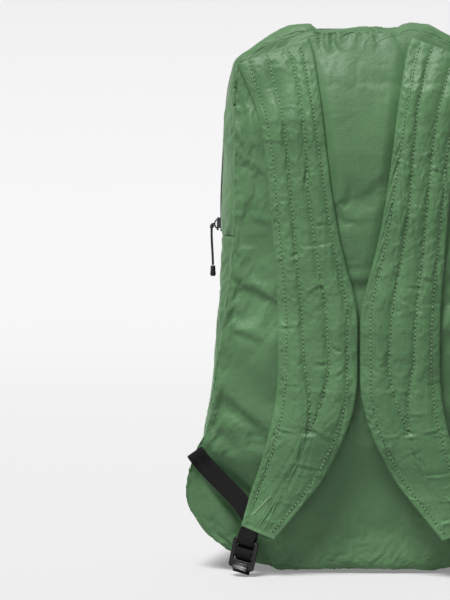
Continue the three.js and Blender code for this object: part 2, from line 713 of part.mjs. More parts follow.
// The tab's ends lie in the plane of the strap's hem.
function tabEnd(out) {
  const c = strapEnd.clone().addScaledVector(endDown, seamGap).addScaledVector(lockFacing, out);
  return { c, w: endEdge, n: v3(0, -Math.sign(out), 0) };
}
const tabSections = [
  tabEnd(strandReach),
  ...tabPath.map(([down, out]) => lockSection(down, out)),
  ...tabPath.slice().reverse().map(([down, out]) => lockSection(down, -out)),
  tabEnd(-strandReach),
];
const tab = ribbonGeometry(faced(tabSections), webbingWidth, webbingThickness);
addPair("strap_tab", () => tab, webbing);

// Side webbing: from the side seam, behind the tab, over the lock's middle bar, behind its lip, and
// on to a short tail. Its path through the lock, as lengths down the lock and out of its face
const behindTab = barReach + webbingThickness + 1.5 * webbingClearance;
const lockPath = [
  [-tabLength, -behindTab],
  [0, -behindTab],
  [lockBar + 0.2 * lockUpperSlot, -behindTab],
  [lockBar + 0.43 * lockUpperSlot, -0.8 * behindTab],
  [lockBar + 0.66 * lockUpperSlot, 0.08 * barReach],
  [lockBar + 0.89 * lockUpperSlot, 0.8 * barReach],
  [upperSlotEnd, 1.04 * barReach],
  [lowerSlotStart, 1.04 * barReach],
  [lowerSlotStart + 0.2 * lockLowerSlot, 0.75 * barReach],
  [lowerSlotStart + 0.5 * lockLowerSlot, 0],
  [lowerSlotStart + 0.8 * lockLowerSlot, -0.75 * barReach],
  [lowerSlotEnd, -1.04 * barReach],
  [lockLength, -1.1 * barReach],
  [lockLength + tailLength, -0.8 * barReach],
];
const anchorShare = 0.975; // across the back panel, just inside its seam
const seated = seamGap + webbingThickness / 2;
const runSteps = 9;

function sideWebbing(side) {
  const seamX = anchorShare * backUnder(side, -bagWidth, anchorHeight).x;
  const near = backUnder(side, seamX, anchorHeight);
  const slope = backUnder(side, seamX * 0.96, anchorHeight - webbingWidth / 2).sub(near).normalize();
  const anchorWidth = v3(0, 0, 1).addScaledVector(slope, -slope.z).normalize();
  const anchorOut = v3().crossVectors(slope, anchorWidth).normalize();
  if (anchorOut.y > 0) anchorOut.negate();
  const anchor = near.addScaledVector(anchorOut, seated);
  const entry = lockSection(...lockPath[0]).c;
  const runStart = slope.multiplyScalar(0.9 * anchorHeight);
  const runEnd = lockDown.clone().multiplyScalar(0.6 * anchorHeight);
  const run = range(0, runSteps - 1).map((i) => {
    const t = i / runSteps;
    const [tt, ttt] = [t * t, t * t * t];
    const c = anchor.clone().multiplyScalar(2 * ttt - 3 * tt + 1);
    c.addScaledVector(runStart, ttt - 2 * tt + t);
    c.addScaledVector(entry, 3 * tt - 2 * ttt);
    c.addScaledVector(runEnd, ttt - tt);
    return { c, w: anchorWidth.clone().lerp(lockAcross, t).normalize() };
  });
  const sections = faced([...run, ...lockPath.map(([down, out]) => lockSection(down, out))]);
  // Where the run would dip into the filled panel, it lies on the cloth instead.
  for (const { c, w, n } of sections.slice(0, runSteps)) {
    const depths = [-0.5, -0.25, 0, 0.25, 0.5].map((across) => {
      const edge = c.clone().addScaledVector(w, across * webbingWidth);
      edge.addScaledVector(n, (Math.sign(n.y) * webbingThickness) / 2);
      return edge.y - backUnder(side, edge.x, edge.z).y + seamGap;
    });
    c.y -= Math.max(0, ...depths);
  }
  return ribbonGeometry(sections, webbingWidth, webbingThickness);
}
addPair("side_webbing", sideWebbing, webbing);

export default bag;
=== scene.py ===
"""Packable backpack: the cloth, stitching, webbing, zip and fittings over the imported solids.

Sizes are in millimetres until a mesh is made, which turns them into metres. The forms of the bag and
its straps repeat the part's tables, and every cloth piece is a finer mesh of the same form.
"""
import math

import bmesh
import bpy
import numpy as np
from mathutils import Matrix, Vector


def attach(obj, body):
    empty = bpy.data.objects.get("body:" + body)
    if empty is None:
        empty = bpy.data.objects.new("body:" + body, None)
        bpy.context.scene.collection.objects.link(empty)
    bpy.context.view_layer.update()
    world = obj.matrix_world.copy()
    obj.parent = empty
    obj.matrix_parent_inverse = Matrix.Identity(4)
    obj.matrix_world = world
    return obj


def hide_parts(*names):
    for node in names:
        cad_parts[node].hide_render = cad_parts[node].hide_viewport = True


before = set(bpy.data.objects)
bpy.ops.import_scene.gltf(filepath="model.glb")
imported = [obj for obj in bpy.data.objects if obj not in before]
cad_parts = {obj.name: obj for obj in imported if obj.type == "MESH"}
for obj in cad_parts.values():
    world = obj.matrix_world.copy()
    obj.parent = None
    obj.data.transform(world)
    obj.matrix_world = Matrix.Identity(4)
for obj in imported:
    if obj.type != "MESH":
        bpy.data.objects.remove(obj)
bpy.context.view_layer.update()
MM = 0.001

# Driving dimensions, the same as the part's
BAG_HEIGHT = 444
BAG_WIDTH = 289
BAG_DEPTH = 128
BACK_SWELL = 18
FRONT_SWELL = 24
SIDE_SWELL = 14
PANEL_CROWN = 2.6
GUSSET_CROWN = 3
GUSSET_RISE = 1.14
ZIP_WIDTH = 10
ZIP_END_ROW = 17
ZIP_DRIFT_ROW = 22
ZIP_TOP_ACROSS = 0.5
ZIP_END_ACROSS = 0.56
STRAP_WIDTH = 66
STRAP_CLEARANCE = 0.8
STRAP_STAND_OFF = 21
STRAP_THICKNESS = 4.2
STITCHED_THICKNESS = 2.2

# Columns: up, backHalf, backOut, backSwell, frontHalf, frontOut, frontSwell, sideSwell
BAG_ROWS = np.array([
    [0.006, 0.43, 0.87, 0.06, 0.42, 0.85, 0.05, 0.19],
    [0.018, 0.59, 0.89, 0.17, 0.55, 0.86, 0.16, 0.34],
    [0.039, 0.74, 0.87, 0.33, 0.67, 0.88, 0.33, 0.36],
    [0.057, 0.83, 0.84, 0.45, 0.72, 0.89, 0.45, 0.36],
    [0.074, 0.89, 0.81, 0.52, 0.75, 0.91, 0.54, 0.34],
    [0.101, 0.95, 0.77, 0.62, 0.78, 0.92, 0.66, 0.3],
    [0.131, 0.993, 0.74, 0.72, 0.795, 0.94, 0.75, 0.28],
    [0.169, 0.99, 0.74, 0.83, 0.81, 0.95, 0.83, 0.28],
    [0.198, 0.968, 0.77, 0.89, 0.81, 0.97, 0.88, 0.3],
    [0.228, 0.937, 0.82, 0.94, 0.81, 0.98, 0.92, 0.34],
    [0.255, 0.887, 0.86, 1, 0.805, 0.99, 0.92, 0.42],
    [0.3, 0.845, 0.91, 1, 0.8, 1, 0.96, 0.5],
    [0.35, 0.827, 0.95, 1, 0.79, 1, 1, 0.52],
    [0.405, 0.806, 0.97, 1, 0.775, 1, 1, 0.58],
    [0.462, 0.782, 0.98, 1, 0.76, 0.98, 1, 0.68],
    [0.507, 0.758, 0.98, 1, 0.745, 0.98, 1, 0.76],
    [0.559, 0.734, 0.98, 0.95, 0.733, 0.97, 0.95, 0.84],
    [0.62, 0.716, 0.98, 0.92, 0.713, 0.95, 0.92, 0.93],
    [0.7, 0.713, 0.98, 0.88, 0.7, 0.92, 0.88, 1],
    [0.79, 0.713, 0.95, 0.78, 0.685, 0.88, 0.75, 0.93],
    [0.868, 0.716, 0.91, 0.62, 0.672, 0.81, 0.58, 0.8],
    [0.912, 0.713, 0.86, 0.5, 0.65, 0.77, 0.46, 0.72],
    [0.946, 0.692, 0.81, 0.34, 0.616, 0.72, 0.33, 0.6],
    [0.965, 0.623, 0.78, 0.25, 0.554, 0.69, 0.25, 0.42],
    [0.982, 0.519, 0.76, 0.17, 0.457, 0.66, 0.19, 0.38],
    [0.994, 0.4, 0.74, 0.11, 0.353, 0.65, 0.12, 0.4],
    [1, 0.29, 0.735, 0.06, 0.256, 0.64, 0.08, 0.34],
])
UP, BACK_HALF, BACK_OUT, BACK_SW, FRONT_HALF, FRONT_OUT, FRONT_SW, SIDE_SW = range(8)
LAST_ROW = len(BAG_ROWS) - 1

# Columns: from across, from up, to across, to up, width, depth
BACK_FOLDS = [
    [-0.86, 0.29, -0.66, 0.15, 0.05, 0.2],
    [-0.8, 0.23, -0.6, 0.1, 0.045, 0.16],
    [-0.78, 0.4, -0.5, 0.33, 0.05, 0.17],
    [-0.7, 0.53, -0.47, 0.49, 0.045, 0.14],
    [-0.66, 0.86, -0.5, 0.9, 0.05, 0.16],
    [0.86, 0.28, 0.6, 0.12, 0.05, 0.2],
    [0.76, 0.42, 0.5, 0.36, 0.05, 0.17],
    [0.68, 0.56, 0.48, 0.51, 0.045, 0.14],
    [0.2, 0.2, 0.42, 0.14, 0.05, 0.12],
]
FRONT_FOLDS = [
    [-0.7, 0.3, -0.3, 0.2, 0.06, 0.14],
    [0.72, 0.36, 0.25, 0.27, 0.06, 0.14],
    [-0.62, 0.66, -0.2, 0.6, 0.06, 0.1],
    [0.6, 0.8, 0.25, 0.7, 0.06, 0.1],
]

# Left strap. Columns: up, inner edge, width, slant in degrees, stand-off
STRAP_ROWS = np.array([
    [0.994, 0.29, 0.94, -20.5, 0],
    [0.96, 0.258, 0.915, -16.5, 0],
    [0.912, 0.235, 0.85, -11.5, 0],
    [0.868, 0.215, 0.8, -8, 0.01],
    [0.813, 0.194, 0.77, -5, 0.01],
    [0.76, 0.174, 0.765, -3, 0.02],
    [0.703, 0.151, 0.78, -1.5, 0.03],
    [0.642, 0.119, 0.815, -0.5, 0.03],
    [0.588, 0.082, 0.87, 0, 0.04],
    [0.541, 0.043, 0.93, 0, 0.05],
    [0.493, 0.01, 0.98, 0, 0.07],
    [0.444, 0.007, 0.98, 1, 0.1],
    [0.392, 0.007, 0.98, 2.5, 0.15],
    [0.342, 0.012, 0.985, 5, 0.25],
    [0.291, 0.048, 0.95, 7, 0.4],
    [0.236, 0.115, 0.885, 9.5, 0.6],
    [0.181, 0.205, 0.79, 12, 0.85],
    [0.138, 0.306, 0.675, 13.5, 1],
    [0.102, 0.396, 0.55, 16, 1.04],
    [0.071, 0.474, 0.445, 21, 1.05],
])
LAST_STRAP_ROW = len(STRAP_ROWS) - 1


def run_lengths(points):
    """The length along a run of points from its first point to each."""
    return np.concatenate([[0], np.cumsum(np.linalg.norm(np.diff(points, axis=0), axis=1))])


def unit(vector):
    """Vectors at length 1."""
    return vector / np.linalg.norm(vector, axis=-1, keepdims=True)


def index_quads(index):
    """Quads between the neighbouring rows and columns of a grid of point numbers."""
    return np.stack([index[:-1, :-1], index[:-1, 1:], index[1:, 1:], index[1:, :-1]], -1).reshape(-1, 4)


def ring_quads(rings, sides, base=0):
    """Quads between rings of sides points each, numbered from base."""
    return [[base + i * sides + k, base + i * sides + (k + 1) % sides,
             base + (i + 1) * sides + (k + 1) % sides, base + (i + 1) * sides + k]
            for i in range(rings - 1) for k in range(sides)]


def smooth_rows(rows, t):
    """The table's columns at fractional rows t, on a smooth curve through the rows."""
    t = np.asarray(t, float)
    last = len(rows) - 1
    low = np.clip(np.floor(t).astype(int), 0, last - 1)
    u = (t - low)[..., None]
    p1, p2 = rows[low], rows[low + 1]
    m1 = (p2 - rows[np.maximum(low - 1, 0)]) / 2
    m2 = (rows[np.minimum(low + 2, last)] - p1) / 2
    flat = p1 * (1 + 2 * u) * (1 - u) ** 2 + p2 * u * u * (3 - 2 * u)
    return flat + m1 * u * (1 - u) ** 2 - m2 * u * u * (1 - u)


def fold_depth(folds, x, z, share, row_share):
    """The depth of drawn folds over a panel, fading to nothing at its edges."""
    fade = (1 - np.abs(share) ** 8) * np.minimum(1, 8 * row_share) * np.minimum(1, 8 * (1 - row_share))
    depth = np.zeros(np.broadcast(x, z).shape)
    for ax, az, bx, bz, width, height in folds:
        a = np.array([ax * BAG_WIDTH / 2, az * BAG_HEIGHT])
        ab = np.array([bx * BAG_WIDTH / 2, bz * BAG_HEIGHT]) - a
        t = np.clip(((x - a[0]) * ab[0] + (z - a[1]) * ab[1]) / (ab @ ab), 0, 1)
        away = np.hypot(x - a[0] - t * ab[0], z - a[1] - t * ab[1]) / (width * BAG_WIDTH)
        depth = depth + height * np.exp(-away * away)
    return depth * fade


def panel_point(back, row, share):
    """Points of a panel: row in table rows, share -1 at its left seam and 1 at its right."""
    row, share = np.broadcast_arrays(np.asarray(row, float), np.asarray(share, float))
    at = smooth_rows(BAG_ROWS, row)
    z = at[..., UP] * BAG_HEIGHT
    x = share * BAG_WIDTH / 2 * at[..., BACK_HALF if back else FRONT_HALF]
    crown = 1 - np.abs(share) ** PANEL_CROWN
    swell = BACK_SWELL if back else FRONT_SWELL
    out = at[..., BACK_OUT if back else FRONT_OUT] * BAG_DEPTH / 2
    out = out + swell * at[..., BACK_SW if back else FRONT_SW] * crown
    out = out - swell * fold_depth(BACK_FOLDS if back else FRONT_FOLDS, x, z, share, row / LAST_ROW)
    return np.stack([x, -out if back else out, z], -1)


FINE_ROWS = np.linspace(0, LAST_ROW, 1601)
FINE_UP = smooth_rows(BAG_ROWS, FINE_ROWS)[:, UP] * BAG_HEIGHT


def on_back(x, z):
    """The back panel's surface at x and z, held to the panel's outline."""
    row = np.interp(np.clip(z, FINE_UP[0], FINE_UP[-1]), FINE_UP, FINE_ROWS)
    half = panel_point(True, row, 1.0)[..., 0]
    return panel_point(True, row, np.clip(x / half, -1, 1))


def strap_point(side, row, share, lift):
    """Points of a strap in the left one's place; side is -1 for the left strap and 1 for the right."""
    at = smooth_rows(STRAP_ROWS, row)
    slant = np.radians(at[..., 3])
    reach = at[..., 2] * STRAP_WIDTH * share
    x = -(at[..., 1] * BAG_WIDTH / 2 + reach * np.cos(slant))
    z = at[..., 0] * BAG_HEIGHT + reach * np.sin(slant)
    y = on_back(-side * x, z)[..., 1] - STRAP_CLEARANCE - at[..., 4] * STRAP_STAND_OFF - lift
    return np.stack([x, y, z], -1)


def in_scene(name, data):
    """A new object with this data, in the scene."""
    obj = bpy.data.objects.new(name, data)
    bpy.context.scene.collection.objects.link(obj)
    return obj


def mesh_piece(name, points, faces, material, uv=None, smooth=True):
    """A piece from points in millimetres. uv, also in millimetres, has one pair for each point."""
    mesh = bpy.data.meshes.new(name)
    mesh.from_pydata((np.asarray(points, float) * MM).tolist(), [], [list(map(int, f)) for f in faces])
    mesh.update()
    if uv is not None:
        layer = mesh.uv_layers.new(name="UVMap")
        loops = np.empty(len(mesh.loops), int)
        mesh.loops.foreach_get("vertex_index", loops)
        layer.data.foreach_set("uv", (np.asarray(uv, float)[loops] * MM).ravel())
    if smooth:
        mesh.polygons.foreach_set("use_smooth", [True] * len(mesh.polygons))
    obj = in_scene(name, mesh)
    obj.data.materials.append(material)
    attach(obj, "root")
    return obj


def grid_faces(rows, cols, flip=False):
    """Quads of a grid of rows x cols points."""
    quads = index_quads(np.arange(rows * cols).reshape(rows, cols))
    return quads[:, ::-1] if flip else quads


def lattice(ix, iy, iz, seed):
    """A fixed pseudo-random value from 0 to 1 for each point of a whole-number lattice."""
    h = (ix * 374761393 + iy * 668265263 + iz * 2147483647 + seed * 974634777) & 0xFFFFFFFF
    h = ((h ^ (h >> 13)) * 1274126177) & 0xFFFFFFFF
    h = ((h ^ (h >> 16)) * 2246822519) & 0xFFFFFFFF
    return ((h ^ (h >> 15)) & 0xFFFFFF) / 0xFFFFFF


def noise(points, size, seed=0):
    """Smooth noise from -1 to 1 at points, with features about size across."""
    p = np.asarray(points, float) / size
    if p.shape[-1] == 2:
        p = np.concatenate([p, np.zeros(p.shape[:-1] + (1,))], -1)
    base = np.floor(p).astype(np.int64)
    f = p - base
    f = f * f * f * (f * (f * 6 - 15) + 10)
    total = 0
    for dx in (0, 1):
        for dy in (0, 1):
            for dz in (0, 1):
                weight = (
                    (f[..., 0] if dx else 1 - f[..., 0])
                    * (f[..., 1] if dy else 1 - f[..., 1])
                    * (f[..., 2] if dz else 1 - f[..., 2])
                )
                total = total + weight * lattice(
                    base[..., 0] + dx, base[..., 1] + dy, base[..., 2] + dz, seed
                )
    return total * 2 - 1


def smoothstep(low, high, x):
    """0 up to low, 1 from high on, and an eased rise between them."""
    t = np.clip((x - low) / (high - low), 0, 1)
    return t * t * (3 - 2 * t)


def around_mean(values, reach):
    """The running mean over reach neighbours each way, round a closed ring."""
    total = sum(np.roll(values, k, 0) for k in range(-reach, reach + 1))
    return total / (2 * reach + 1)


CLOTH_STEP = 3.2  # between neighbouring points of the bag's cloth


def even_rows():
    """Table rows whose points lie CLOTH_STEP apart along the side seams."""
    seam = (panel_point(True, FINE_ROWS, 1.0) + panel_point(False, FINE_ROWS, 1.0)) / 2
    along = run_lengths(seam)
    count = round(along[-1] / CLOTH_STEP)
    return np.interp(np.linspace(0, along[-1], count + 1), along, FINE_ROWS)


def bag_skin():
    """The whole skin as one welded mesh: the points, and the index grids of its three parts."""
    rows = even_rows()
    cols = 80
    shares = np.linspace(-1, 1, cols + 1)
    nr = len(rows)
    back = panel_point(True, rows[:, None], shares[None, :])
    front = panel_point(False, rows[:, None], shares[None, :])
    back_index = np.arange(nr * (cols + 1)).reshape(nr, cols + 1)
    front_index = back_index + back_index.size
    ring = [(0, c) for c in range(cols)] + [(r, cols) for r in range(nr - 1)]
    ring += [(nr - 1, c) for c in range(cols, 0, -1)] + [(r, 0) for r in range(nr - 1, 0, -1)]
    ring = np.array(ring)
    a, b = back[ring[:, 0], ring[:, 1]], front[ring[:, 0], ring[:, 1]]
    middle = (a + b) / 2
    step = np.roll(middle, -1, 0) - np.roll(middle, 1, 0)
    outward = np.stack([step[:, 2], np.zeros(len(ring)), -step[:, 0]], -1)
    outward /= np.linalg.norm(outward, axis=1)[:, None]
    outward = around_mean(outward, 3)
    outward /= np.linalg.norm(outward, axis=1)[:, None]
    swell = smooth_rows(BAG_ROWS, rows[ring[:, 0]])[:, SIDE_SW] * SIDE_SWELL
    across = gusset_shares(rows[ring[:, 0]], np.linalg.norm(b - a, axis=1))
    crown = np.minimum(1, GUSSET_RISE * (1 - np.abs(2 * across - 1) ** GUSSET_CROWN))
    gusset = a[:, None] * (1 - across[..., None]) + b[:, None] * across[..., None]
    gusset = gusset + outward[:, None] * (swell[:, None] * crown)[..., None]
    gusset[..., 2] = np.maximum(gusset[..., 2], 0)
    inner = gusset[:, 1:-1]
    gusset_index = np.empty(across.shape, int)
    gusset_index[:, 0] = back_index[ring[:, 0], ring[:, 1]]
    gusset_index[:, -1] = front_index[ring[:, 0], ring[:, 1]]
    gusset_index[:, 1:-1] = 2 * back_index.size + np.arange(inner[..., 0].size).reshape(inner.shape[:2])
    points = np.concatenate([back.reshape(-1, 3), front.reshape(-1, 3), inner.reshape(-1, 3)])
    return dict(points=points, back=back_index, front=front_index, gusset=gusset_index,
                rows=rows, ring=ring, across=across)


TAPE_FIRST, TAPE_LAST, GUSSET_CELLS = 19, 22, 40


def gusset_shares(rows, depths):
    """For each station of the gusset, its points' shares from the back seam to the front seam."""
    down = 1 - smoothstep(ZIP_END_ROW, ZIP_DRIFT_ROW, rows)
    middle = ZIP_TOP_ACROSS + (ZIP_END_ACROSS - ZIP_TOP_ACROSS) * down
    half = ZIP_WIDTH / 2 / depths
    k = np.arange(GUSSET_CELLS + 1)
    knots = [0, TAPE_FIRST, TAPE_LAST, GUSSET_CELLS]
    return np.stack([np.interp(k, knots, [0, m - h, m + h, 1]) for m, h in zip(middle, half)])


def simulate(points, faces, pinned, frames, growth, pressure, bending):
    """Lets pinned cloth that is growth larger than its place buckle, and returns its points."""
    mesh = bpy.data.meshes.new("cloth_trial")
    mesh.from_pydata((points * MM).tolist(), [], faces.tolist())
    obj = in_scene("cloth_trial", mesh)
    group = obj.vertex_groups.new(name="pin")
    for weight in (1.0, 0.5, 0.2):
        chosen = np.flatnonzero(np.isclose(pinned, weight))
        if len(chosen):
            group.add(chosen.tolist(), weight, "REPLACE")
    cloth = obj.modifiers.new("Cloth", "CLOTH")
    settings = cloth.settings
    settings.quality = 5
    settings.mass = 0.05
    settings.air_damping = 4
    settings.tension_stiffness = 12
    settings.compression_stiffness = 12
    settings.shear_stiffness = 4
    settings.bending_stiffness = bending
    settings.tension_damping = 2
    settings.compression_damping = 2
    settings.shear_damping = 2
    settings.bending_damping = 0.5
    settings.vertex_group_mass = "pin"
    settings.pin_stiffness = 20
    settings.shrink_min = -growth
    settings.use_pressure = True
    settings.uniform_pressure_force = pressure
    settings.effector_weights.gravity = 0
    cloth.collision_settings.use_collision = False
    cloth.collision_settings.use_self_collision = False
    scene = bpy.context.scene
    cloth.point_cache.frame_start = 1
    cloth.point_cache.frame_end = frames
    for number in range(1, frames + 1):
        scene.frame_set(number)
    settled = obj.evaluated_get(bpy.context.evaluated_depsgraph_get())
    result = np.empty(len(points) * 3)
    settled.data.vertices.foreach_get("co", result)
    bpy.data.objects.remove(obj)
    bpy.data.meshes.remove(mesh)
    scene.frame_set(1)
    return result.reshape(-1, 3) / MM


def normals_of(points, faces):
    """Unit normals at the points of a quad mesh."""
    a, b, c, d = (points[faces[:, k]] for k in range(4))
    face = np.cross(c - a, d - b)
    total = np.zeros_like(points)
    for k in range(4):
        np.add.at(total, faces[:, k], face)
    return total / np.maximum(np.linalg.norm(total, axis=1), 1e-9)[:, None]


def skin_faces(skin):
    """The skin's quads: the back panel's, the front panel's and the ring's."""
    ring = np.vstack([skin["gusset"], skin["gusset"][:1]])
    back, front = skin["back"], skin["front"]
    facing_front = index_quads(front)[:, [0, 3, 2, 1]]
    return np.concatenate([index_quads(back), facing_front, index_quads(ring)])


def add_camera():
    """The photograph's view: square to the straps, from a little above, with the bag to the right."""
    distance = 2.2
    elevation = math.radians(4)
    aim_height = 0.222
    aim = Vector((-0.1132, 0, aim_height))
    data = bpy.data.cameras.new("camera")
    data.lens = 156.4
    data.sensor_width = 36
    data.clip_end = 20
    camera = in_scene("camera", data)
    camera.location = (0, -distance * math.cos(elevation), aim_height + distance * math.sin(elevation))
    camera.rotation_euler = (aim - camera.location).to_track_quat("-Z", "Y").to_euler()
    bpy.context.scene.camera = camera


def add_light(name, place, target, size, power):
    """A rectangular area light, turned to its target."""
    data = bpy.data.lights.new(name, "AREA")
    data.shape = "RECTANGLE"
    data.size, data.size_y = size
    data.energy = power
    light = in_scene(name, data)
    light.location = place
    light.rotation_euler = (Vector(target) - Vector(place)).to_track_quat("-Z", "Y").to_euler()


def add_studio():
    """A pale floor that curves up into a backdrop, soft lights, and an even pale world."""
    flat_end, bend, top, half_width = 1.6, 0.9, 3.5, 14
    profile = [(-4, 0), (flat_end, 0)]
    for angle in np.linspace(0.15, math.pi / 2, 9):
        profile.append((flat_end + bend * math.sin(angle), bend * (1 - math.cos(angle))))
    profile.append((flat_end + bend, top))
    points = [(x, y, z) for y, z in profile for x in (-half_width, half_width)]
    faces = [(2 * i, 2 * i + 1, 2 * i + 3, 2 * i + 2) for i in range(len(profile) - 1)]
    material = bpy.data.materials.new("studio_floor")
    material.use_nodes = True
    shader = material.node_tree.nodes["Principled BSDF"]
    shader.inputs["Base Color"].default_value = (0.32, 0.32, 0.32, 1)
    shader.inputs["Roughness"].default_value = 0.9
    shader.inputs["Specular IOR Level"].default_value = 0.1
    shader.inputs["Emission Color"].default_value = (1, 1, 1, 1)
    nodes, links = material.node_tree.nodes, material.node_tree.links
    place = nodes.new("ShaderNodeNewGeometry")
    height = nodes.new("ShaderNodeSeparateXYZ")
    glow = nodes.new("ShaderNodeMapRange")
    links.new(place.outputs["Position"], height.inputs[0])
    links.new(height.outputs["Z"], glow.inputs["Value"])
    glow.inputs["From Max"].default_value = 0.7
    glow.inputs["To Min"].default_value = 0.225
    glow.inputs["To Max"].default_value = 0.375
    links.new(glow.outputs["Result"], shader.inputs["Emission Strength"])
    mesh = bpy.data.meshes.new("studio_floor")
    mesh.from_pydata(points, [], faces)
    for polygon in mesh.polygons:
        polygon.use_smooth = True
    floor = in_scene("studio_floor", mesh)
    floor.data.materials.append(material)
    world = bpy.data.worlds.new("studio")
    world.use_nodes = True
    world.node_tree.nodes["Background"].inputs["Color"].default_value = (1, 1, 1, 1)
    world.node_tree.nodes["Background"].inputs["Strength"].default_value = 0.2
    bpy.context.scene.world = world
    bpy.context.scene.view_settings.view_transform = "Standard"
    sun = bpy.data.lights.new("key", "SUN")
    sun.energy = 5.7
    sun.angle = math.radians(24)
    key = in_scene("key", sun)
    toward = Vector((-0.24, -0.36, 0.9))
    key.rotation_euler = toward.to_track_quat("Z", "Y").to_euler()
    add_light("fill", (-0.5, -1.7, 0.14), (0, 0, 0.06), (1.2, 0.3), 5)


def colour(value):
    """A linear colour from an sRGB triple of 0 to 255."""
    return tuple(((c / 255 + 0.055) / 1.055) ** 2.4 if c > 10 else c / 255 / 12.92 for c in value) + (1,)


class Nodes:
    """A short way to build a material's nodes."""

    def __init__(self, name):
        self.material = bpy.data.materials.new(name)
        self.material.use_nodes = True
        self.tree = self.material.node_tree
        self.shader = self.tree.nodes["Principled BSDF"]

    def add(self, kind, settings=None, **inputs):
        node = self.tree.nodes.new(kind)
        for key, value in (settings or {}).items():
            setattr(node, key, value)
        for key, value in inputs.items():
            self.put(node, int(key[1:]) if key[1:].isdigit() else key.replace("_", " "), value)
        return node

    def put(self, node, key, value):
        socket = node.inputs[key]
        if isinstance(value, bpy.types.NodeSocket):
            self.tree.links.new(value, socket)
        elif isinstance(value, bpy.types.Node):
            self.tree.links.new(value.outputs[0], socket)
        else:
            socket.default_value = value

    def math(self, operation, a, b=0.0, c=0.0):
        return self.add("ShaderNodeMath", {"operation": operation}, i0=a, i1=b, i2=c).outputs[0]

    def ramp(self, value, low, high, to_low=0.0, to_high=1.0):
        kind = {"interpolation_type": "SMOOTHSTEP"}
        node = self.add("ShaderNodeMapRange", kind, i0=value, i1=low, i2=high, i3=to_low, i4=to_high)
        return node.outputs[0]

    def mix(self, factor, a, b):
        node = self.add("ShaderNodeMix", {"data_type": "RGBA"})
        self.put(node, 0, factor)
        self.put(node, 6, a)
        self.put(node, 7, b)
        return node.outputs[2]

    def noise(self, vector, scale, detail=2.0, rough=0.5, distortion=0.0):
        node = self.add("ShaderNodeTexNoise", None, Scale=scale, Detail=detail, Roughness=rough,
                        Distortion=distortion)
        self.put(node, "Vector", vector)
        return node.outputs[0]

    def cells(self, vector, scale):
        node = self.add("ShaderNodeTexVoronoi", {"feature": "DISTANCE_TO_EDGE"}, Scale=scale)
        self.put(node, "Vector", vector)
        return node.outputs["Distance"]

    def bump(self, height, strength, distance, normal=None):
        node = self.add("ShaderNodeBump", None, Strength=strength, Distance=distance, Height=height)
        if normal is not None:
            self.put(node, "Normal", normal)
        return node.outputs[0]

    def coordinates(self):
        node = self.add("ShaderNodeTexCoord")
        return node.outputs["Object"], node.outputs["UV"]

    def split(self, vector):
        return self.add("ShaderNodeSeparateXYZ", None, i0=vector).outputs

    def lines(self, value, pitch, width):
        """1 on a line, 0 between lines, which are pitch apart."""
        wave = self.math("PINGPONG", value, pitch / 2)
        return self.ramp(wave, width / 2, 0.0)

    def finish(self, base, rough, normal=None, **plain):
        self.put(self.shader, "Base Color", base)
        self.put(self.shader, "Roughness", rough)
        if normal is not None:
            self.put(self.shader, "Normal", normal)
        for key, value in plain.items():
            self.shader.inputs[key.replace("_", " ")].default_value = value
        return self.material


GRID_PITCH = 1.9 * MM  # between the heavier yarns of the ripstop
GRID_LINE = 0.5 * MM


def ripstop_cloth(name, base, shade, light):
    """Thin crinkled nylon with the fine square grid of ripstop."""
    m = Nodes(name)
    place, uv = m.coordinates()
    u, v = m.split(uv)[:2]
    across = m.lines(u, GRID_PITCH, GRID_LINE)
    along = m.lines(v, GRID_PITCH, GRID_LINE)
    grid = m.math("MAXIMUM", across, along)
    weave = m.noise(uv, 5200, 1)
    mottle = m.noise(place, 26, 3, 0.6)
    streak = m.noise(place, 9, 2, 0.5)
    tint = m.mix(m.ramp(mottle, 0.3, 0.7), shade, base)
    tint = m.mix(m.ramp(streak, 0.42, 0.75, 0, 0.55), tint, light)
    tint = m.mix(m.math("MULTIPLY", grid, 0.6), tint, light)
    tint = m.mix(m.math("MULTIPLY", m.ramp(weave, 0.3, 0.7), 0.12), tint, shade)
    warp = m.add("ShaderNodeMix", {"data_type": "VECTOR"})
    drift = m.add("ShaderNodeTexNoise", None, Scale=60.0, Detail=1.0)
    m.put(drift, "Vector", place)
    m.put(warp, 0, 0.012)
    m.put(warp, 4, place)
    m.put(warp, 5, drift.outputs["Color"])
    crease = m.ramp(m.cells(warp.outputs[1], 130), 0, 0.22)
    fine = m.ramp(m.cells(warp.outputs[1], 310), 0, 0.2)
    ripple = m.noise(place, 190, 3, 0.55)
    normal = m.bump(grid, 0.35, 0.00012)
    normal = m.bump(ripple, 0.3, 0.0007, normal)
    normal = m.bump(crease, 0.12, 0.0005, normal)
    normal = m.bump(fine, 0.08, 0.0003, normal)
    rough = m.ramp(mottle, 0.25, 0.75, 0.46, 0.56)
    return m.finish(tint, rough, normal, Sheen_Weight=0.12, Sheen_Roughness=0.4,
                    Specular_IOR_Level=0.28, Sheen_Tint=(0.6, 0.9, 0.58, 1))


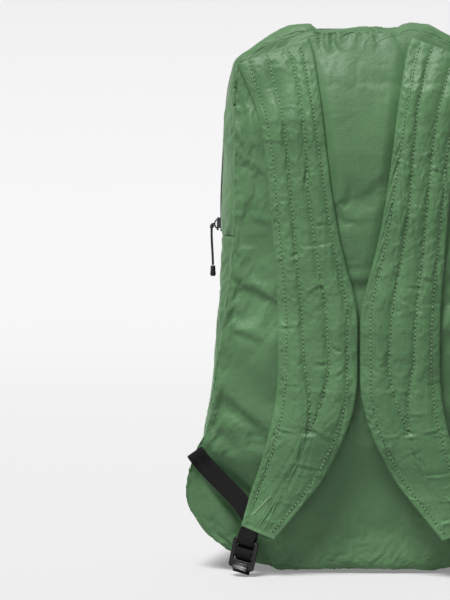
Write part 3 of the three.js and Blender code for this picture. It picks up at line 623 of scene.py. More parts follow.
def woven_band(name, base, light, rib, size):
    """Webbing: slanting ribs that turn at the middle, each rib broken into yarns, with the ribs' crests
    painted lighter as a painted highlight.
    """
    m = Nodes(name)
    place, uv = m.coordinates()
    u, v = m.split(uv)[:2]
    folded = m.math("PINGPONG", v, size)
    slant = m.math("ADD", u, m.math("MULTIPLY", folded, 0.9))
    ribs = m.math("SINE", m.math("MULTIPLY", slant, 2 * math.pi / rib))
    yarns = m.math("SINE", m.math("MULTIPLY", v, 2 * math.pi / (rib * 0.75)))
    weave = m.math("ADD", m.math("MULTIPLY", ribs, 0.65), m.math("MULTIPLY", yarns, 0.35))
    height = m.ramp(weave, -0.9, 0.9)
    fuzz = m.noise(place, 2600, 2, 0.6)
    # Painted highlight: the rib crests are painted lighter than the hollows; the fuzz below adds lighter tone
    # at random.
    tint = m.mix(m.math("MULTIPLY", height, 0.8), base, light)
    tint = m.mix(m.ramp(fuzz, 0.45, 0.8, 0, 0.35), tint, light)
    normal = m.bump(height, 0.9, 0.00035)
    normal = m.bump(fuzz, 0.3, 0.0001, normal)
    return m.finish(tint, 0.85, normal, Specular_IOR_Level=0.2)


def moulded_plastic(name, base, rough, grain=900):
    """Moulded plastic with a fine grain and slight wear. The dark dots of painted shade at the needle holes
    are made with it too.
    """
    m = Nodes(name)
    place = m.coordinates()[0]
    speckle = m.noise(place, grain, 3, 0.6)
    wear = m.noise(place, 120, 3, 0.6)
    normal = m.bump(speckle, 0.25, 0.00008)
    tint = m.mix(m.ramp(wear, 0.5, 0.8, 0, 0.35), base, tuple(min(1, c * 1.9) for c in base[:3]) + (1,))
    return m.finish(tint, m.ramp(speckle, 0.3, 0.7, rough - 0.06, rough + 0.08), normal,
                    Specular_IOR_Level=0.35)


def thread(name, base, light):
    """Sewing thread, twisted from plies."""
    m = Nodes(name)
    uv = m.coordinates()[1]
    ply = m.math("SINE", m.math("MULTIPLY", m.split(uv)[0], 2 * math.pi / (0.45 * MM)))
    tint = m.mix(m.ramp(ply, -1, 1), base, light)
    return m.finish(tint, 0.55, m.bump(ply, 0.4, 0.0001), Sheen_Weight=0.2)


GREEN = colour((66, 99, 64))
GREEN_DARK = colour((59, 91, 58))
GREEN_LIGHT = colour((80, 115, 77))
bag_cloth = ripstop_cloth("ripstop_green", GREEN, GREEN_DARK, GREEN_LIGHT)
strap_cloth = ripstop_cloth("strap_ripstop", colour((70, 104, 68)), GREEN_DARK, colour((84, 120, 81)))
black_web = woven_band("black_webbing", colour((4, 4, 4)), colour((18, 16, 18)), 1.5 * MM, 3.75 * MM)
tape_web = woven_band("zip_tape_weave", colour((20, 20, 23)), colour((48, 48, 52)), 0.8 * MM, 1.2 * MM)
black_plastic = moulded_plastic("black_plastic", colour((14, 14, 15)), 0.36)
cord_cloth = woven_band("pull_cord_cloth", colour((22, 21, 23)), colour((52, 50, 54)), 0.9 * MM, 0.8 * MM)
coil_plastic = moulded_plastic("zip_coil_plastic", colour((24, 24, 26)), 0.4, 2000)
slider_paint = moulded_plastic("slider_paint", colour((24, 24, 26)), 0.33, 1500)
strap_thread = thread("strap_thread", colour((84, 118, 80)), colour((114, 146, 106)))
# Painted shade: dark green dots between the stitches stand in for the shade in the needle holes.
hole_shade = moulded_plastic("painted_hole_shade", colour((22, 36, 21)), 0.8)


def blend_at(grid, r, c):
    """A grid of points at fractional row r and column c."""
    rows, cols = grid.shape[:2]
    r, c = np.clip(r, 0, rows - 1.001), np.clip(c, 0, cols - 1.001)
    i, j = np.floor(r).astype(int), np.floor(c).astype(int)
    fr, fc = (r - i)[..., None], (c - j)[..., None]
    low = grid[i, j] * (1 - fc) + grid[i, j + 1] * fc
    high = grid[i + 1, j] * (1 - fc) + grid[i + 1, j + 1] * fc
    return low * (1 - fr) + high * fr


def even_line(grid, r, c, pitch):
    """Fractional places along a line through a grid, pitch apart on the surface."""
    points = blend_at(grid, r, c)
    along = run_lengths(points)
    count = max(1, int(along[-1] / pitch))
    at = (np.arange(count) + 0.5) * along[-1] / count
    return np.interp(at, along, r), np.interp(at, along, c)


def stitches(name, runs, length, radius, material):
    """Threads that lie on the cloth, and the dark dots of painted shade at the needle holes: each run is
    centres, directions and normals, one for each.
    """
    points, faces, uv = [], [], []
    sides = 6
    rings = [(-0.5, 0.35), (-0.38, 0.9), (-0.12, 1.05), (0.12, 1.05), (0.38, 0.9), (0.5, 0.35)]
    for centres, ways, normals in runs:
        for centre, way, normal in zip(centres, ways, normals):
            side = np.cross(way, normal)
            base = len(points)
            for share, fat in rings:
                for k in range(sides):
                    angle = 2 * math.pi * k / sides
                    out = side * math.cos(angle) + normal * math.sin(angle)
                    sink = (abs(share) * 2) ** 3 * radius * 0.9
                    points.append(centre + way * share * length + out * radius * fat - normal * sink)
                    uv.append((share * length, k))
            faces += ring_quads(len(rings), sides, base)
            faces.append([base + k for k in range(sides)][::-1])
            faces.append([base + (len(rings) - 1) * sides + k for k in range(sides)])
    return mesh_piece(name, points, faces, material, uv)


def surface_run(grid, r, c, lift):
    """Centres, directions and normals on a grid at fractional rows and columns."""
    centre = blend_at(grid, r, c)
    way = np.gradient(centre, axis=0)
    way /= np.linalg.norm(way, axis=1)[:, None]
    du = blend_at(grid, r + 0.7, c) - blend_at(grid, r - 0.7, c)
    dv = blend_at(grid, r, c + 0.7) - blend_at(grid, r, c - 0.7)
    normal = np.cross(du, dv)
    normal /= np.linalg.norm(normal, axis=1)[:, None]
    normal *= np.where(normal[:, 1:2] > 0, -1, 1)
    return centre + normal * lift, way, normal


SEAM_TUCK = 3.5  # of cloth turned in at a seam
SEAM_SPREAD = 0.12  # between a turned edge and the seam's line
SEAM_PULL = 1.3  # how deep a seam draws the cloth in
PUCKER_PITCH = 8.5  # along a seam
PUCKER_REACH = 26  # how far the puckers run from a seam


def ridges(values, width):
    """Crisp ridges where smooth noise passes through zero."""
    return np.maximum(0, 1 - np.abs(values) / width) - 0.25


def seam_puckers(along, away, seed, pitch=PUCKER_PITCH, reach=PUCKER_REACH):
    """Height of the puckers that stand square to a line of stitching, along it and away from it."""
    slanted = along + 0.35 * away * noise(np.stack([along, 0 * along], -1), 40, seed + 9)
    merge = 1 + away / (2.5 * reach)
    crisp = ridges(noise(np.stack([slanted / merge, away / 4], -1), pitch * 0.62, seed), 0.3)
    soft = noise(np.stack([slanted / merge, away / 5], -1), pitch * 1.5, seed + 7)
    length = reach * (1 + 0.75 * noise(np.stack([slanted, 0 * along], -1), pitch * 2.4, seed + 3))
    strength = 0.35 + smoothstep(-0.5, 0.6, noise(np.stack([along, 0 * along], -1), 34, seed + 5))
    fade = np.exp(-((away / np.maximum(length, 1)) ** 1.5))
    return fade * strength * (0.55 * crisp + 0.6 * soft)


def drawn_creases(u, v, count, seed, length, depth, width, turn):
    """Crisp creases scattered over a flat u and v, most of them within turn radians of level."""
    draw = np.random.default_rng(seed)
    height = np.zeros(u.shape)
    spots = np.stack([draw.uniform(u.min(), u.max(), count), draw.uniform(v.min(), v.max(), count)], -1)
    for u0, v0 in spots:
        angle = draw.normal(0, turn)
        reach = length * draw.uniform(0.5, 1.4)
        bend = draw.uniform(-0.25, 0.25) / reach
        deep = depth * draw.uniform(0.4, 1.2)
        sign = draw.choice([-1, 1])
        near = (np.abs(u - u0) < reach) & (np.abs(v - v0) < reach)
        du, dv = u[near] - u0, v[near] - v0
        t = du * math.cos(angle) + dv * math.sin(angle)
        side = (dv * math.cos(angle) - du * math.sin(angle) + bend * t * t) * sign
        ends = np.maximum(0, 1 - (2 * t / reach) ** 2) ** 1.5
        sharp = np.exp(-np.abs(side) / width) - 0.8 * np.exp(-((side - 2.2 * width) / (1.6 * width)) ** 2)
        height[near] += deep * ends * sharp
    return height


def finer(grid):
    """The grid with one more point between any two neighbours, on smooth curves through them."""
    for axis in (0, 1):
        a = np.moveaxis(grid, axis, 0)
        padded = np.concatenate([2 * a[:1] - a[1:2], a, 2 * a[-1:] - a[-2:-1]])
        out = np.empty((2 * len(a) - 1, *a.shape[1:]))
        out[0::2] = a
        out[1::2] = (9 * (padded[1:-2] + padded[2:-1]) - padded[:-3] - padded[3:]) / 16
        grid = np.moveaxis(out, 0, axis)
    return grid


def edge_lengths(grid):
    """For each point of a grid: lengths along the surface from its left, right, first and last edge."""
    across = np.linalg.norm(np.diff(grid, axis=1), axis=2)
    down = np.linalg.norm(np.diff(grid, axis=0), axis=2)
    left = np.concatenate([np.zeros((len(grid), 1)), np.cumsum(across, 1)], 1)
    first = np.concatenate([np.zeros((1, grid.shape[1])), np.cumsum(down, 0)])
    return {"left": left, "right": left[:, -1:] - left, "first": first, "last": first[-1:] - first}


def panel_detail(smooth, edges, seed):
    """Fine height of a panel's cloth: puckers at its sewn edges, creases and crinkles."""
    length = edge_lengths(smooth)
    height = np.zeros(smooth.shape[:2])
    for number, (name, strength) in enumerate(edges.items()):
        along = length["first" if name in ("left", "right") else "left"]
        height += strength * seam_puckers(along, length[name], seed + 13 * number, 7.0, 15)
        height += 0.75 * strength * seam_puckers(along, length[name], seed + 13 * number + 5, 4.6, 5)
        height -= min(1, strength) * SEAM_PULL * np.exp(-((length[name] / 2.1) ** 2))
    u, v = length["left"], length["first"]
    area = u.max() * v.max()
    creased = drawn_creases(u, v, int(area / 3400), seed + 70, 36, 0.8, 1.1, 0.45)
    creased += drawn_creases(u, v, int(area / 1500), seed + 71, 15, 0.35, 0.8, 0.9)
    creased += 0.1 * noise(smooth, 8, seed + 80) + 0.12 * ridges(noise(smooth, 24, seed + 81), 0.14)
    calm = smoothstep(-0.35, 0.4, noise(smooth, 55, seed + 83))
    return np.minimum(height + creased * (0.3 + 0.7 * calm), 1.4)


def pull_fold(points, start, end, width, depth):
    """A drawn fold from start to end, in x and z: a sharp ridge with a dent on its lower side."""
    a, ab = np.array(start), np.array(end) - np.array(start)
    x, z = points[:, 0] - a[0], points[:, 2] - a[1]
    length = np.hypot(*ab)
    t = (x * ab[0] + z * ab[1]) / length**2
    side = (x * ab[1] - z * ab[0]) / length / width
    body = np.exp(-side * side) - 0.75 * np.exp(-((side - 1.5) ** 2))
    ends = smoothstep(-0.12, 0.25, t) * (1 - smoothstep(0.62, 1.12, t))
    return depth * body * ends


# Folds that the left webbing and the seams draw in the back panel, with the right side's like them.
# Columns: start x, start z, end x, end z, width, depth
DRAWN_FOLDS = [
    [-133, 100, -92, 62, 5, 2.2],
    [-130, 112, -78, 82, 6, 1.7],
    [-122, 126, -72, 118, 6, 1.6],
    [-118, 158, -68, 122, 7, 2.2],
    [-108, 252, -66, 228, 4.6, 1.2],
    [-106, 300, -70, 292, 4, 0.8],
    [-112, 208, -74, 196, 4.6, 0.9],
    [-104, 352, -76, 330, 4.6, 1.0],
    [-100, 402, -84, 360, 4, 0.9],
    [134, 98, 96, 58, 5, 2.0],
    [128, 114, 80, 88, 6, 1.7],
    [116, 166, 70, 138, 7, 1.9],
    [108, 246, 68, 232, 4.6, 1.0],
    [104, 322, 72, 306, 4.6, 0.9],
    [100, 400, 82, 366, 4, 0.9],
    [24, 88, 62, 66, 7, 1.6],
    [-30, 62, -66, 40, 6, 1.3],
    [-26, 446, -27, 428, 3.4, 1.6],
    [-17, 446, -18, 430, 3.2, 1.5],
    [-5, 446, -5, 430, 3.4, 1.3],
]


# Heights on the back panel between the straps and how far it swells there
BACK_SWELLS = [[0, 0], [60, 0.4], [120, 1.6], [190, 0.2], [236, -1.6], [345, 4.2], [404, 1.4], [444, 0]]
# Places where the cloth is drawn in. Columns: x, z, reach across, reach up, depth
PINCHES = [
    [-99, 396, 7, 12, 4.5],
    [98, 398, 7, 12, 4.0],
    [-104, 376, 9, 5, 1.6],
    [-137, 88, 5, 12, 2.5],
    [136, 90, 5, 12, 2.5],
]
TOP_HUMP = 7.5  # of the cloth behind each strap's sewn end
# Heights on the back panel outside the straps and how far it swells there
SIDE_SWELLS = [[0, 0], [55, 0.8], [98, 3.6], [142, 0.2], [200, 0.4], [250, -1], [320, 0.8], [398, 5],
               [430, 1.6], [444, 0]]


def seed_shape(skin, normal):
    """The smooth skin with the folds and puckers that its cloth starts to buckle from."""
    points = skin["points"]
    lift = noise(points, 9, 1) * 0.2 + noise(points, 24, 2) * 0.5 + noise(points, 46, 5) * 1.1
    for number, key in enumerate(("back", "front")):
        index = skin[key]
        grid = points[index]
        z = grid[..., 2]
        half = np.abs(grid[:, -1:, 0])
        for side in (-1, 1):
            away = half - side * grid[..., 0]
            lift[index] += seam_puckers(z, away, 11 + 4 * number + side)
        low = np.maximum(z - z.min(), 0)
        high = np.maximum(z.max() - z, 0)
        lift[index] += seam_puckers(grid[..., 0], low, 23 + number) * 0.8
        lift[index] += seam_puckers(grid[..., 0], high, 29 + number) * 0.4
    ring = points[skin["gusset"]]
    steps = np.linalg.norm(ring[:, 0] - np.roll(ring[:, 0], 1, 0), axis=1)
    along = np.cumsum(steps)[:, None] + 0 * skin["across"]
    depth = np.linalg.norm(ring[:, -1] - ring[:, 0], axis=1)[:, None]
    for number, away in enumerate((skin["across"] * depth, (1 - skin["across"]) * depth)):
        lift[skin["gusset"]] += seam_puckers(along, away, 41 + number) * 0.8
    back = skin["back"].ravel()
    for x0, z0, x1, z1, width, height in DRAWN_FOLDS:
        lift[back] += pull_fold(points[back], (x0, z0), (x1, z1), width, height)
    x, z = points[back][:, 0], points[back][:, 2]
    for x0, z0, wide, tall, depth in PINCHES:
        lift[back] -= depth * np.exp(-(((x - x0) / wide) ** 2) - ((z - z0) / tall) ** 2)
    return points + normal * lift[:, None]


def back_swell(points):
    """How far a grid of points on the back panel swells, broadly, between the straps and beside them."""
    x, half = np.abs(points[..., 0]), np.abs(points[:, -1:, 0])
    uneven = points[..., 2] + 5 * noise(points, 30, 90)
    middle = 1 - smoothstep(34, 62, x)
    beside = (1 - middle) * smoothstep(0, 22, half - x)
    centre, side = np.array(BACK_SWELLS).T, np.array(SIDE_SWELLS).T
    return np.interp(uneven, *centre) * middle + np.interp(uneven, *side) * beside


def pinned_points(skin):
    """1 for a point that is sewn or rests on the floor, and 0 for free cloth."""
    pinned = np.zeros(len(skin["points"]))
    for key in ("back", "front"):
        index = skin[key]
        for edge in (index[0], index[-1], index[:, 0], index[:, -1]):
            pinned[edge] = 1
    zipped = skin["rows"][skin["ring"][:, 0]] >= ZIP_END_ROW
    pinned[skin["gusset"][zipped][:, TAPE_FIRST:TAPE_LAST + 1].ravel()] = 1
    pinned[skin["points"][:, 2] < 0.6] = 1
    return pinned


def strap_cover(points):
    """How closely a strap lies over points of the back panel: 1 right under it, 0 clear of it."""
    share = np.linspace(0, LAST_STRAP_ROW, 300)
    at = smooth_rows(STRAP_ROWS, share)
    z = at[:, 0] * BAG_HEIGHT
    inner = at[:, 1] * BAG_WIDTH / 2
    outer = inner + at[:, 2] * STRAP_WIDTH
    order = np.argsort(z)
    height = points[:, 2]
    near = np.interp(height, z[order], inner[order])
    far = np.interp(height, z[order], outer[order])
    off = np.interp(height, z[order], at[order, 4] * STRAP_STAND_OFF)
    x = np.abs(points[:, 0])
    inside = smoothstep(near - 9, near + 3, x) * (1 - smoothstep(far - 3, far + 9, x))
    return inside * (1 - smoothstep(1.5, 6, off))


def top_humps(points):
    """How far the cloth behind the straps' sewn ends stands up above the bag's top."""
    off = np.abs(points[:, 0] + 2)
    beside = 0.4 + 0.6 * smoothstep(31, 42, off)
    beside *= 1 - smoothstep(58, 122, off)
    behind = smoothstep(-57, -40, points[:, 1]) * (1 - smoothstep(-24, -7, points[:, 1]))
    return TOP_HUMP * beside * behind * smoothstep(BAG_HEIGHT - 40, BAG_HEIGHT - 8, points[:, 2])


def webbing_cover(points):
    """1 for points of the back panel that a side webbing lies over, and 0 well clear of it."""
    cover = np.zeros(len(points))
    for side in (-1, 1):
        centres = np.array(webbing_path(side)[0][:11]) * [-side, 1, 1]
        line = eased(centres, centres, 4.0)[0]
        off = points[:, None] - line[None]
        gap = np.min(np.hypot(off[..., 0], off[..., 2]), axis=1)
        cover = np.maximum(cover, 1 - smoothstep(9, 15, gap))
    return cover


BAG_CLOTH = {"frames": 12, "growth": 0.024, "pressure": 0.6, "bending": 0.3}
CLOTH_SHIFT = 3  # the most that cloth moves along its surface
PANEL_RISE = 2.2  # the most that the back and front panels' folds stand out
GUSSET_OUT = 0.6  # the most that the gusset's folds stand out
FOLD_DEPTH = 3.6  # the most that cloth lies in
PANEL_DRAW = 0.4  # how far the panels' loose cloth is drawn in
GUSSET_DRAW = 3.2  # how far the gusset's loose cloth is drawn in


def settle_skin(skin):
    """The skin's points after its cloth has buckled between the seams."""
    points = skin["points"]
    faces = skin_faces(skin)
    normal = normals_of(points, faces)
    pinned = pinned_points(skin)
    start = seed_shape(skin, normal)
    start[pinned > 0.5] = points[pinned > 0.5]
    settled = simulate(start, faces, pinned, **BAG_CLOTH)
    move = settled - points
    out = np.sum(move * normal, 1)
    flat = move - out[:, None] * normal
    flat *= np.minimum(1, CLOTH_SHIFT / np.maximum(np.linalg.norm(flat, axis=1), 1e-6))[:, None]
    back = np.zeros(len(points))
    back[skin["back"].ravel()] = strap_cover(points[skin["back"].ravel()])
    round_side = np.ones(len(points), bool)
    round_side[skin["back"].ravel()] = False
    round_side[skin["front"].ravel()] = False
    from_tape = np.ones(len(points))
    cells = np.arange(GUSSET_CELLS + 1)
    gap = np.maximum(0, np.maximum(TAPE_FIRST - cells, cells - TAPE_LAST))
    zipped = skin["rows"][skin["ring"][:, 0]] >= ZIP_END_ROW
    from_tape[skin["gusset"][zipped]] = smoothstep(0, 6, gap)[None, :]
    high = np.where(round_side, GUSSET_OUT, PANEL_RISE)
    out = (out - np.where(round_side, GUSSET_DRAW, PANEL_DRAW) * (pinned < 0.5)) * from_tape
    out = np.where(out > 0, high * np.tanh(out / high), FOLD_DEPTH * np.tanh(out / FOLD_DEPTH))
    out[skin["back"].ravel()] += back_swell(points[skin["back"]]).ravel()
    out = out * (1 - back) + np.minimum(out * 0.45 - 1.2, 0.2) * back
    web = np.zeros(len(points))
    web[skin["back"].ravel()] = webbing_cover(points[skin["back"].ravel()])
    out = out * (1 - web) + np.minimum(out, 0) * web
    settled = points + flat + out[:, None] * normal
    settled[:, 2] += top_humps(points)
    settled[:, 2] = np.maximum(settled[:, 2], np.where(points[:, 2] < 3, np.minimum(points[:, 2], 0.3), 0.3))
    return settled


def tucked(grid, normals, edges):
    """Adds one more row of points inside each of the named edges of a panel, where a seam turns in."""
    def turned(line, next_line, normal):
        inward = next_line - line
        inward /= np.maximum(np.linalg.norm(inward, axis=-1), 1e-9)[..., None]
        return line - normal * SEAM_TUCK + inward * SEAM_SPREAD

    rows = [grid]
    if "first" in edges:
        rows.insert(0, turned(grid[0], grid[1], normals[0])[None])
    if "last" in edges:
        rows.append(turned(grid[-1], grid[-2], normals[-1])[None])
    tall = np.concatenate(rows)
    start = 1 if "first" in edges else 0
    cols = [tall]
    for side, there, near in (("left", 0, 1), ("right", -1, -2)):
        if side not in edges:
            continue
        inward = tall[:, near] - tall[:, there]
        inward /= np.maximum(np.linalg.norm(inward, axis=-1), 1e-9)[:, None]
        rim = np.pad(normals[:, there], ((start, len(tall) - len(grid) - start), (0, 0)), "edge")
        line = (tall[:, there] - rim * SEAM_TUCK + inward * SEAM_SPREAD)[:, None]
        cols = [line] + cols if side == "left" else cols + [line]
    return np.concatenate(cols, 1)


def grid_uv(grid):
    """Flat lengths along the rows and columns of a grid, from its middle."""
    length = edge_lengths(grid)
    u, v = length["left"], length["first"]
    u = u - u[:, u.shape[1] // 2][:, None]
    v = np.broadcast_to(v.mean(1)[:, None], v.shape)
    return np.stack([u, v], -1).reshape(-1, 2)


def panel_piece(name, grid, smooth_grid, normals, edges, node, flip, seed):
    """One sewn panel, drawn in and puckered at its seams and turned under along them."""
    grid, smooth_grid, normals = finer(grid), finer(smooth_grid), unit(finer(normals))
    height = panel_detail(smooth_grid, edges, seed)
    if node == "back_panel":
        flat = grid.reshape(-1, 3)
        cover = np.maximum(strap_cover(flat), webbing_cover(flat)).reshape(height.shape)
        height = height * (1 - cover) + np.minimum(height, 0) * cover
    height = np.where(smooth_grid[..., 2] < 2.5, np.minimum(height, 0) * 0.3, height)
    grid = grid + normals * height[..., None]
    grid[..., 2] = np.maximum(grid[..., 2], 0.05)
    whole = tucked(grid, normals, tuple(edges))
    piece = mesh_piece(name, whole.reshape(-1, 3), grid_faces(*whole.shape[:2], flip=flip),
                       bag_cloth, grid_uv(tucked(smooth_grid, normals, tuple(edges))))
    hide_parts(node)


def make_bag():
    """The bag's five cloth panels. Returns the skin with its settled points and normals."""
    skin = bag_skin()
    smooth = skin["points"]
    faces = skin_faces(skin)
    settled = settle_skin(skin)
    normal = normals_of(smooth, faces)
    for name, key, node, flip in (("back_panel_cloth", "back", "back_panel", False),
                                  ("front_panel_cloth", "front", "front_panel", True)):
        index = skin[key]
        edges = {"first": 0.8, "last": 0.9, "left": 1.25, "right": 1.25}
        panel_piece(name, settled[index], smooth[index], normal[index], edges, node, flip, 100 + len(key))
    ring_rows = skin["rows"][skin["ring"][:, 0]]
    count = len(ring_rows)
    zipped = np.flatnonzero(ring_rows >= ZIP_END_ROW)
    first, last = zipped[0], zipped[-1]
    low = np.arange(last, first + count + 1) % count
    high = np.arange(first, last + 1)
    gusset = skin["gusset"]
    pieces = (
        ("lower_gusset_cloth", low, slice(None), "lower_gusset",
         {"first": 0.6, "last": 0.6, "left": 1.2, "right": 1.2}),
        ("rear_gusset_cloth", high, slice(0, TAPE_FIRST + 1), "rear_gusset_strip",
         {"first": 0.6, "last": 0.6, "left": 1.0, "right": 0.3}),
        ("front_gusset_cloth", high, slice(TAPE_LAST, None), "front_gusset_strip",
         {"first": 0.6, "last": 0.6, "left": 0.3, "right": 1.0}),
    )
    for number, (name, stations, cells, node, edges) in enumerate(pieces):
        index = gusset[stations][:, cells]
        panel_piece(name, settled[index], smooth[index], normal[index], edges, node, False, 130 + 20 * number)
    return skin, settled, normal


# Across a strap, from its inner edge: where the four lines of stitching run, by table row
STITCH_ROWS = np.array([0, 3, 6, 10, 12, 14.6, 17, 19])
STITCH_INNER = np.array([0.15, 0.14, 0.11, 0.127, 0.134, 0.115, 0.13, 0.17])
STITCH_MIDDLE_INNER = np.array([0.31, 0.3, 0.374, 0.395, 0.354, 0.484, 0.484, 0.484])
STITCH_MIDDLE_OUTER = np.array([0.62, 0.62, 0.655, 0.7, 0.672, 0.486, 0.486, 0.486])
STITCH_OUTER = np.array([0.865, 0.873, 0.888, 0.895, 0.895, 0.89, 0.87, 0.84])
STITCH_POINT_ROW = 14.6  # where the two middle lines meet
STITCH_PITCH = 3.4
STRAP_STEP = 2.1
STRAP_CELLS = 36


def strap_rows_even():
    """The strap table's rows at even steps along a strap."""
    fine = np.linspace(0, LAST_STRAP_ROW, 801)
    line = strap_point(-1, fine, 0.5, 0.0)
    along = run_lengths(line)
    count = round(along[-1] / STRAP_STEP)
    return np.interp(np.linspace(0, along[-1], count + 1), along, fine)


def stitch_shares(rows):
    """The four lines' shares across the strap at each row. The middle two end at their point."""
    lines = [np.interp(rows, STITCH_ROWS, line)
             for line in (STITCH_INNER, STITCH_MIDDLE_INNER, STITCH_MIDDLE_OUTER, STITCH_OUTER)]
    return np.stack(lines, -1)


def strap_lift(rows, shares):
    """Thickness of the strap: low at its edges and its stitching, puffed between them."""
    lines = stitch_shares(rows)
    lift = np.empty((len(rows), len(shares)))
    for i, row in enumerate(rows):
        knots = [0, *lines[i], 1] if row < STITCH_POINT_ROW else [0, lines[i][0], lines[i][3], 1]
        knots = np.array(knots)
        cell = np.clip(np.searchsorted(knots, shares, side="right") - 1, 0, len(knots) - 2)
        width = (knots[cell + 1] - knots[cell]) * STRAP_WIDTH
        local = (shares - knots[cell]) / (knots[cell + 1] - knots[cell])
        puff = 1 - np.abs(2 * local - 1) ** 2.4
        puff *= np.minimum(1, width / 13)
        hem = smoothstep(0, 1.2, row) * (1 - smoothstep(LAST_STRAP_ROW - 0.9, LAST_STRAP_ROW - 0.1, row))
        puff *= np.where((cell == 0) | (cell == len(knots) - 2), 0.15, 1.0)
        puffed = STRAP_THICKNESS + 0.3 - STITCHED_THICKNESS
        lift[i] = STITCHED_THICKNESS + puffed * puff * (0.35 + 0.65 * hem)
        lift[i] -= 0.9 * np.maximum(0, 1 - np.minimum(shares, 1 - shares) / 0.03) ** 2
    return lift


# Heights on each strap and how far its face swells there
STRAP_SWELLS = {
    -1: [[30, 0], [80, 0.4], [118, 0.9], [150, 2.2], [224, 0.3], [262, 1.3], [300, 0.1], [330, 0],
         [372, 3.6], [430, 0], [444, 0]],
    1: [[30, 0], [60, 0.4], [92, 1.5], [130, 0.5], [187, 3.6], [250, 0], [300, 0.8], [340, -0.4],
        [394, 3.4], [432, 0], [444, 0]],
}


def strap_detail(side, along, across, lines):
    """Fine height of a strap's face: puckers square to its stitching and hems, and creases."""
    height = np.zeros(along.shape)
    for k in range(4):
        off = across - lines[k]
        for sign in (-1, 1):
            away = np.maximum(sign * off, 0)
            there = (sign * off >= 0) * 1.0
            hem = (k == 0 and sign < 0) or (k == 3 and sign > 0)
            seed = 300 + 40 * side + 7 * k
            reach = 7.5 if hem else 5.0
            height += there * (1.1 if hem else 0.7) * seam_puckers(along, away, seed, 4.2, reach)
            height += there * 0.34 * seam_puckers(along, away, seed + 900, 8.0, 13)
    height += drawn_creases(across, along, 26, 340 + side, 26, 0.8, 1.0, 0.32)
    height += drawn_creases(across, along, 60, 350 + side, 12, 0.4, 0.75, 0.5)
    return height


STRAP_CLOTH = {"frames": 10, "growth": 0.03, "pressure": 0, "bending": 0.25}
STRAP_SHIFT = 0.28  # the most that a strap's cloth moves


def make_strap(side, name):
    """A shoulder strap's cloth with its folds, and its sewing."""
    rows = strap_rows_even()
    shares = np.linspace(0, 1, STRAP_CELLS + 1)
    r, c = np.meshgrid(rows, shares, indexing="ij")
    lift = strap_lift(rows, shares)
    under = strap_point(side, r, c, 0.15)
    over = strap_point(side, r, c, lift)
    lines = stitch_shares(rows)[:, None, :]
    gap = np.min(np.abs(lines - c[..., None]), axis=-1) * STRAP_WIDTH
    free = smoothstep(0.2, 4, gap)
    broad = noise(np.stack([under[..., 2], 5 * c, 0 * c], -1), 12, 64 + side)
    over[..., 1] -= 0.25 * broad * free
    nr, nc = over.shape[:2]
    index = np.arange(nr * nc).reshape(nr, nc)
    pinned = np.zeros(nr * nc)
    for edge in (index[0], index[-1], index[:, 0], index[:, -1]):
        pinned[edge] = 1
    for i, columns in enumerate(lines_columns(rows)):
        pinned[index[i, columns]] = 1
    settled = simulate(over.reshape(-1, 3), grid_faces(nr, nc), pinned, **STRAP_CLOTH)
    move = settled.reshape(nr, nc, 3) - over
    move *= np.minimum(1, STRAP_SHIFT / np.maximum(np.linalg.norm(move, axis=2), 1e-6))[..., None]
    over = over + move
    heights, swells = np.array(STRAP_SWELLS[side]).T
    level = under[..., 2] + 7 * noise(np.stack([under[..., 0], under[..., 2]], -1), 26, 70 + side)
    swell = np.interp(level, heights, swells)
    rim = 0.35 + 0.65 * smoothstep(0, 0.16, np.minimum(c, 1 - c))
    over[..., 1] -= swell * rim
    over, under = finer(over), finer(under)
    along = run_lengths(under[:, nc])
    width = np.linalg.norm(under[:, -1] - under[:, 0], axis=1)[:, None]
    fine_rows = finer(rows[:, None, None])[:, 0, 0]
    across = np.linspace(0, 1, 2 * nc - 1)[None, :] * width
    places = [line[:, None] * width for line in stitch_shares(fine_rows).T]
    along = along[:, None] + 0 * across
    held = smoothstep(0, 5, along) * smoothstep(0, 7, along.max() - along)
    held *= 1 - 0.72 * smoothstep(362, 384, under[..., 2] + 6 * noise(under, 30, 77))
    over[..., 1] -= strap_detail(side, along, across, places) * held
    over[..., 1] = np.minimum(over[..., 1], under[..., 1] - 0.8)
    nr, nc = over.shape[:2]
    whole = np.concatenate([over, under[:, ::-1]], 1)
    points = whole.reshape(-1, 3)
    wrap = np.arange(2 * nr * nc).reshape(nr, 2 * nc)
    wrap = np.concatenate([wrap, wrap[:, :1]], 1)
    quads = index_quads(wrap)
    caps = []
    for i, flip in ((0, True), (nr - 1, False)):
        top, low = wrap[i, :nc], wrap[i, nc:2 * nc][::-1]
        cap = np.stack([top[:-1], top[1:], low[1:], low[:-1]], -1)
        caps.append(cap[:, ::-1] if flip else cap)
    quads = np.concatenate([quads, *caps])
    if side == -1:
        quads = quads[:, ::-1]
    uv = np.stack([np.concatenate([across, 2 * width - across[:, ::-1]], 1),
                   np.concatenate([along, along], 1)], -1).reshape(-1, 2)
    mirror = np.array([-side, 1, 1])
    piece = mesh_piece(name + "_cloth", points * mirror, quads, strap_cloth, uv)
    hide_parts(name)
    sew_strap(over * mirror, fine_rows, name)


def lines_columns(rows):
    """For each row, the columns of the strap's grid that a line of stitching holds down."""
    lines = stitch_shares(rows)
    held = []
    for i, row in enumerate(rows):
        chosen = lines[i] if row < STITCH_POINT_ROW else lines[i][[0, 3]]
        held.append(np.unique(np.round(np.array(chosen) * STRAP_CELLS).astype(int)))
    return held


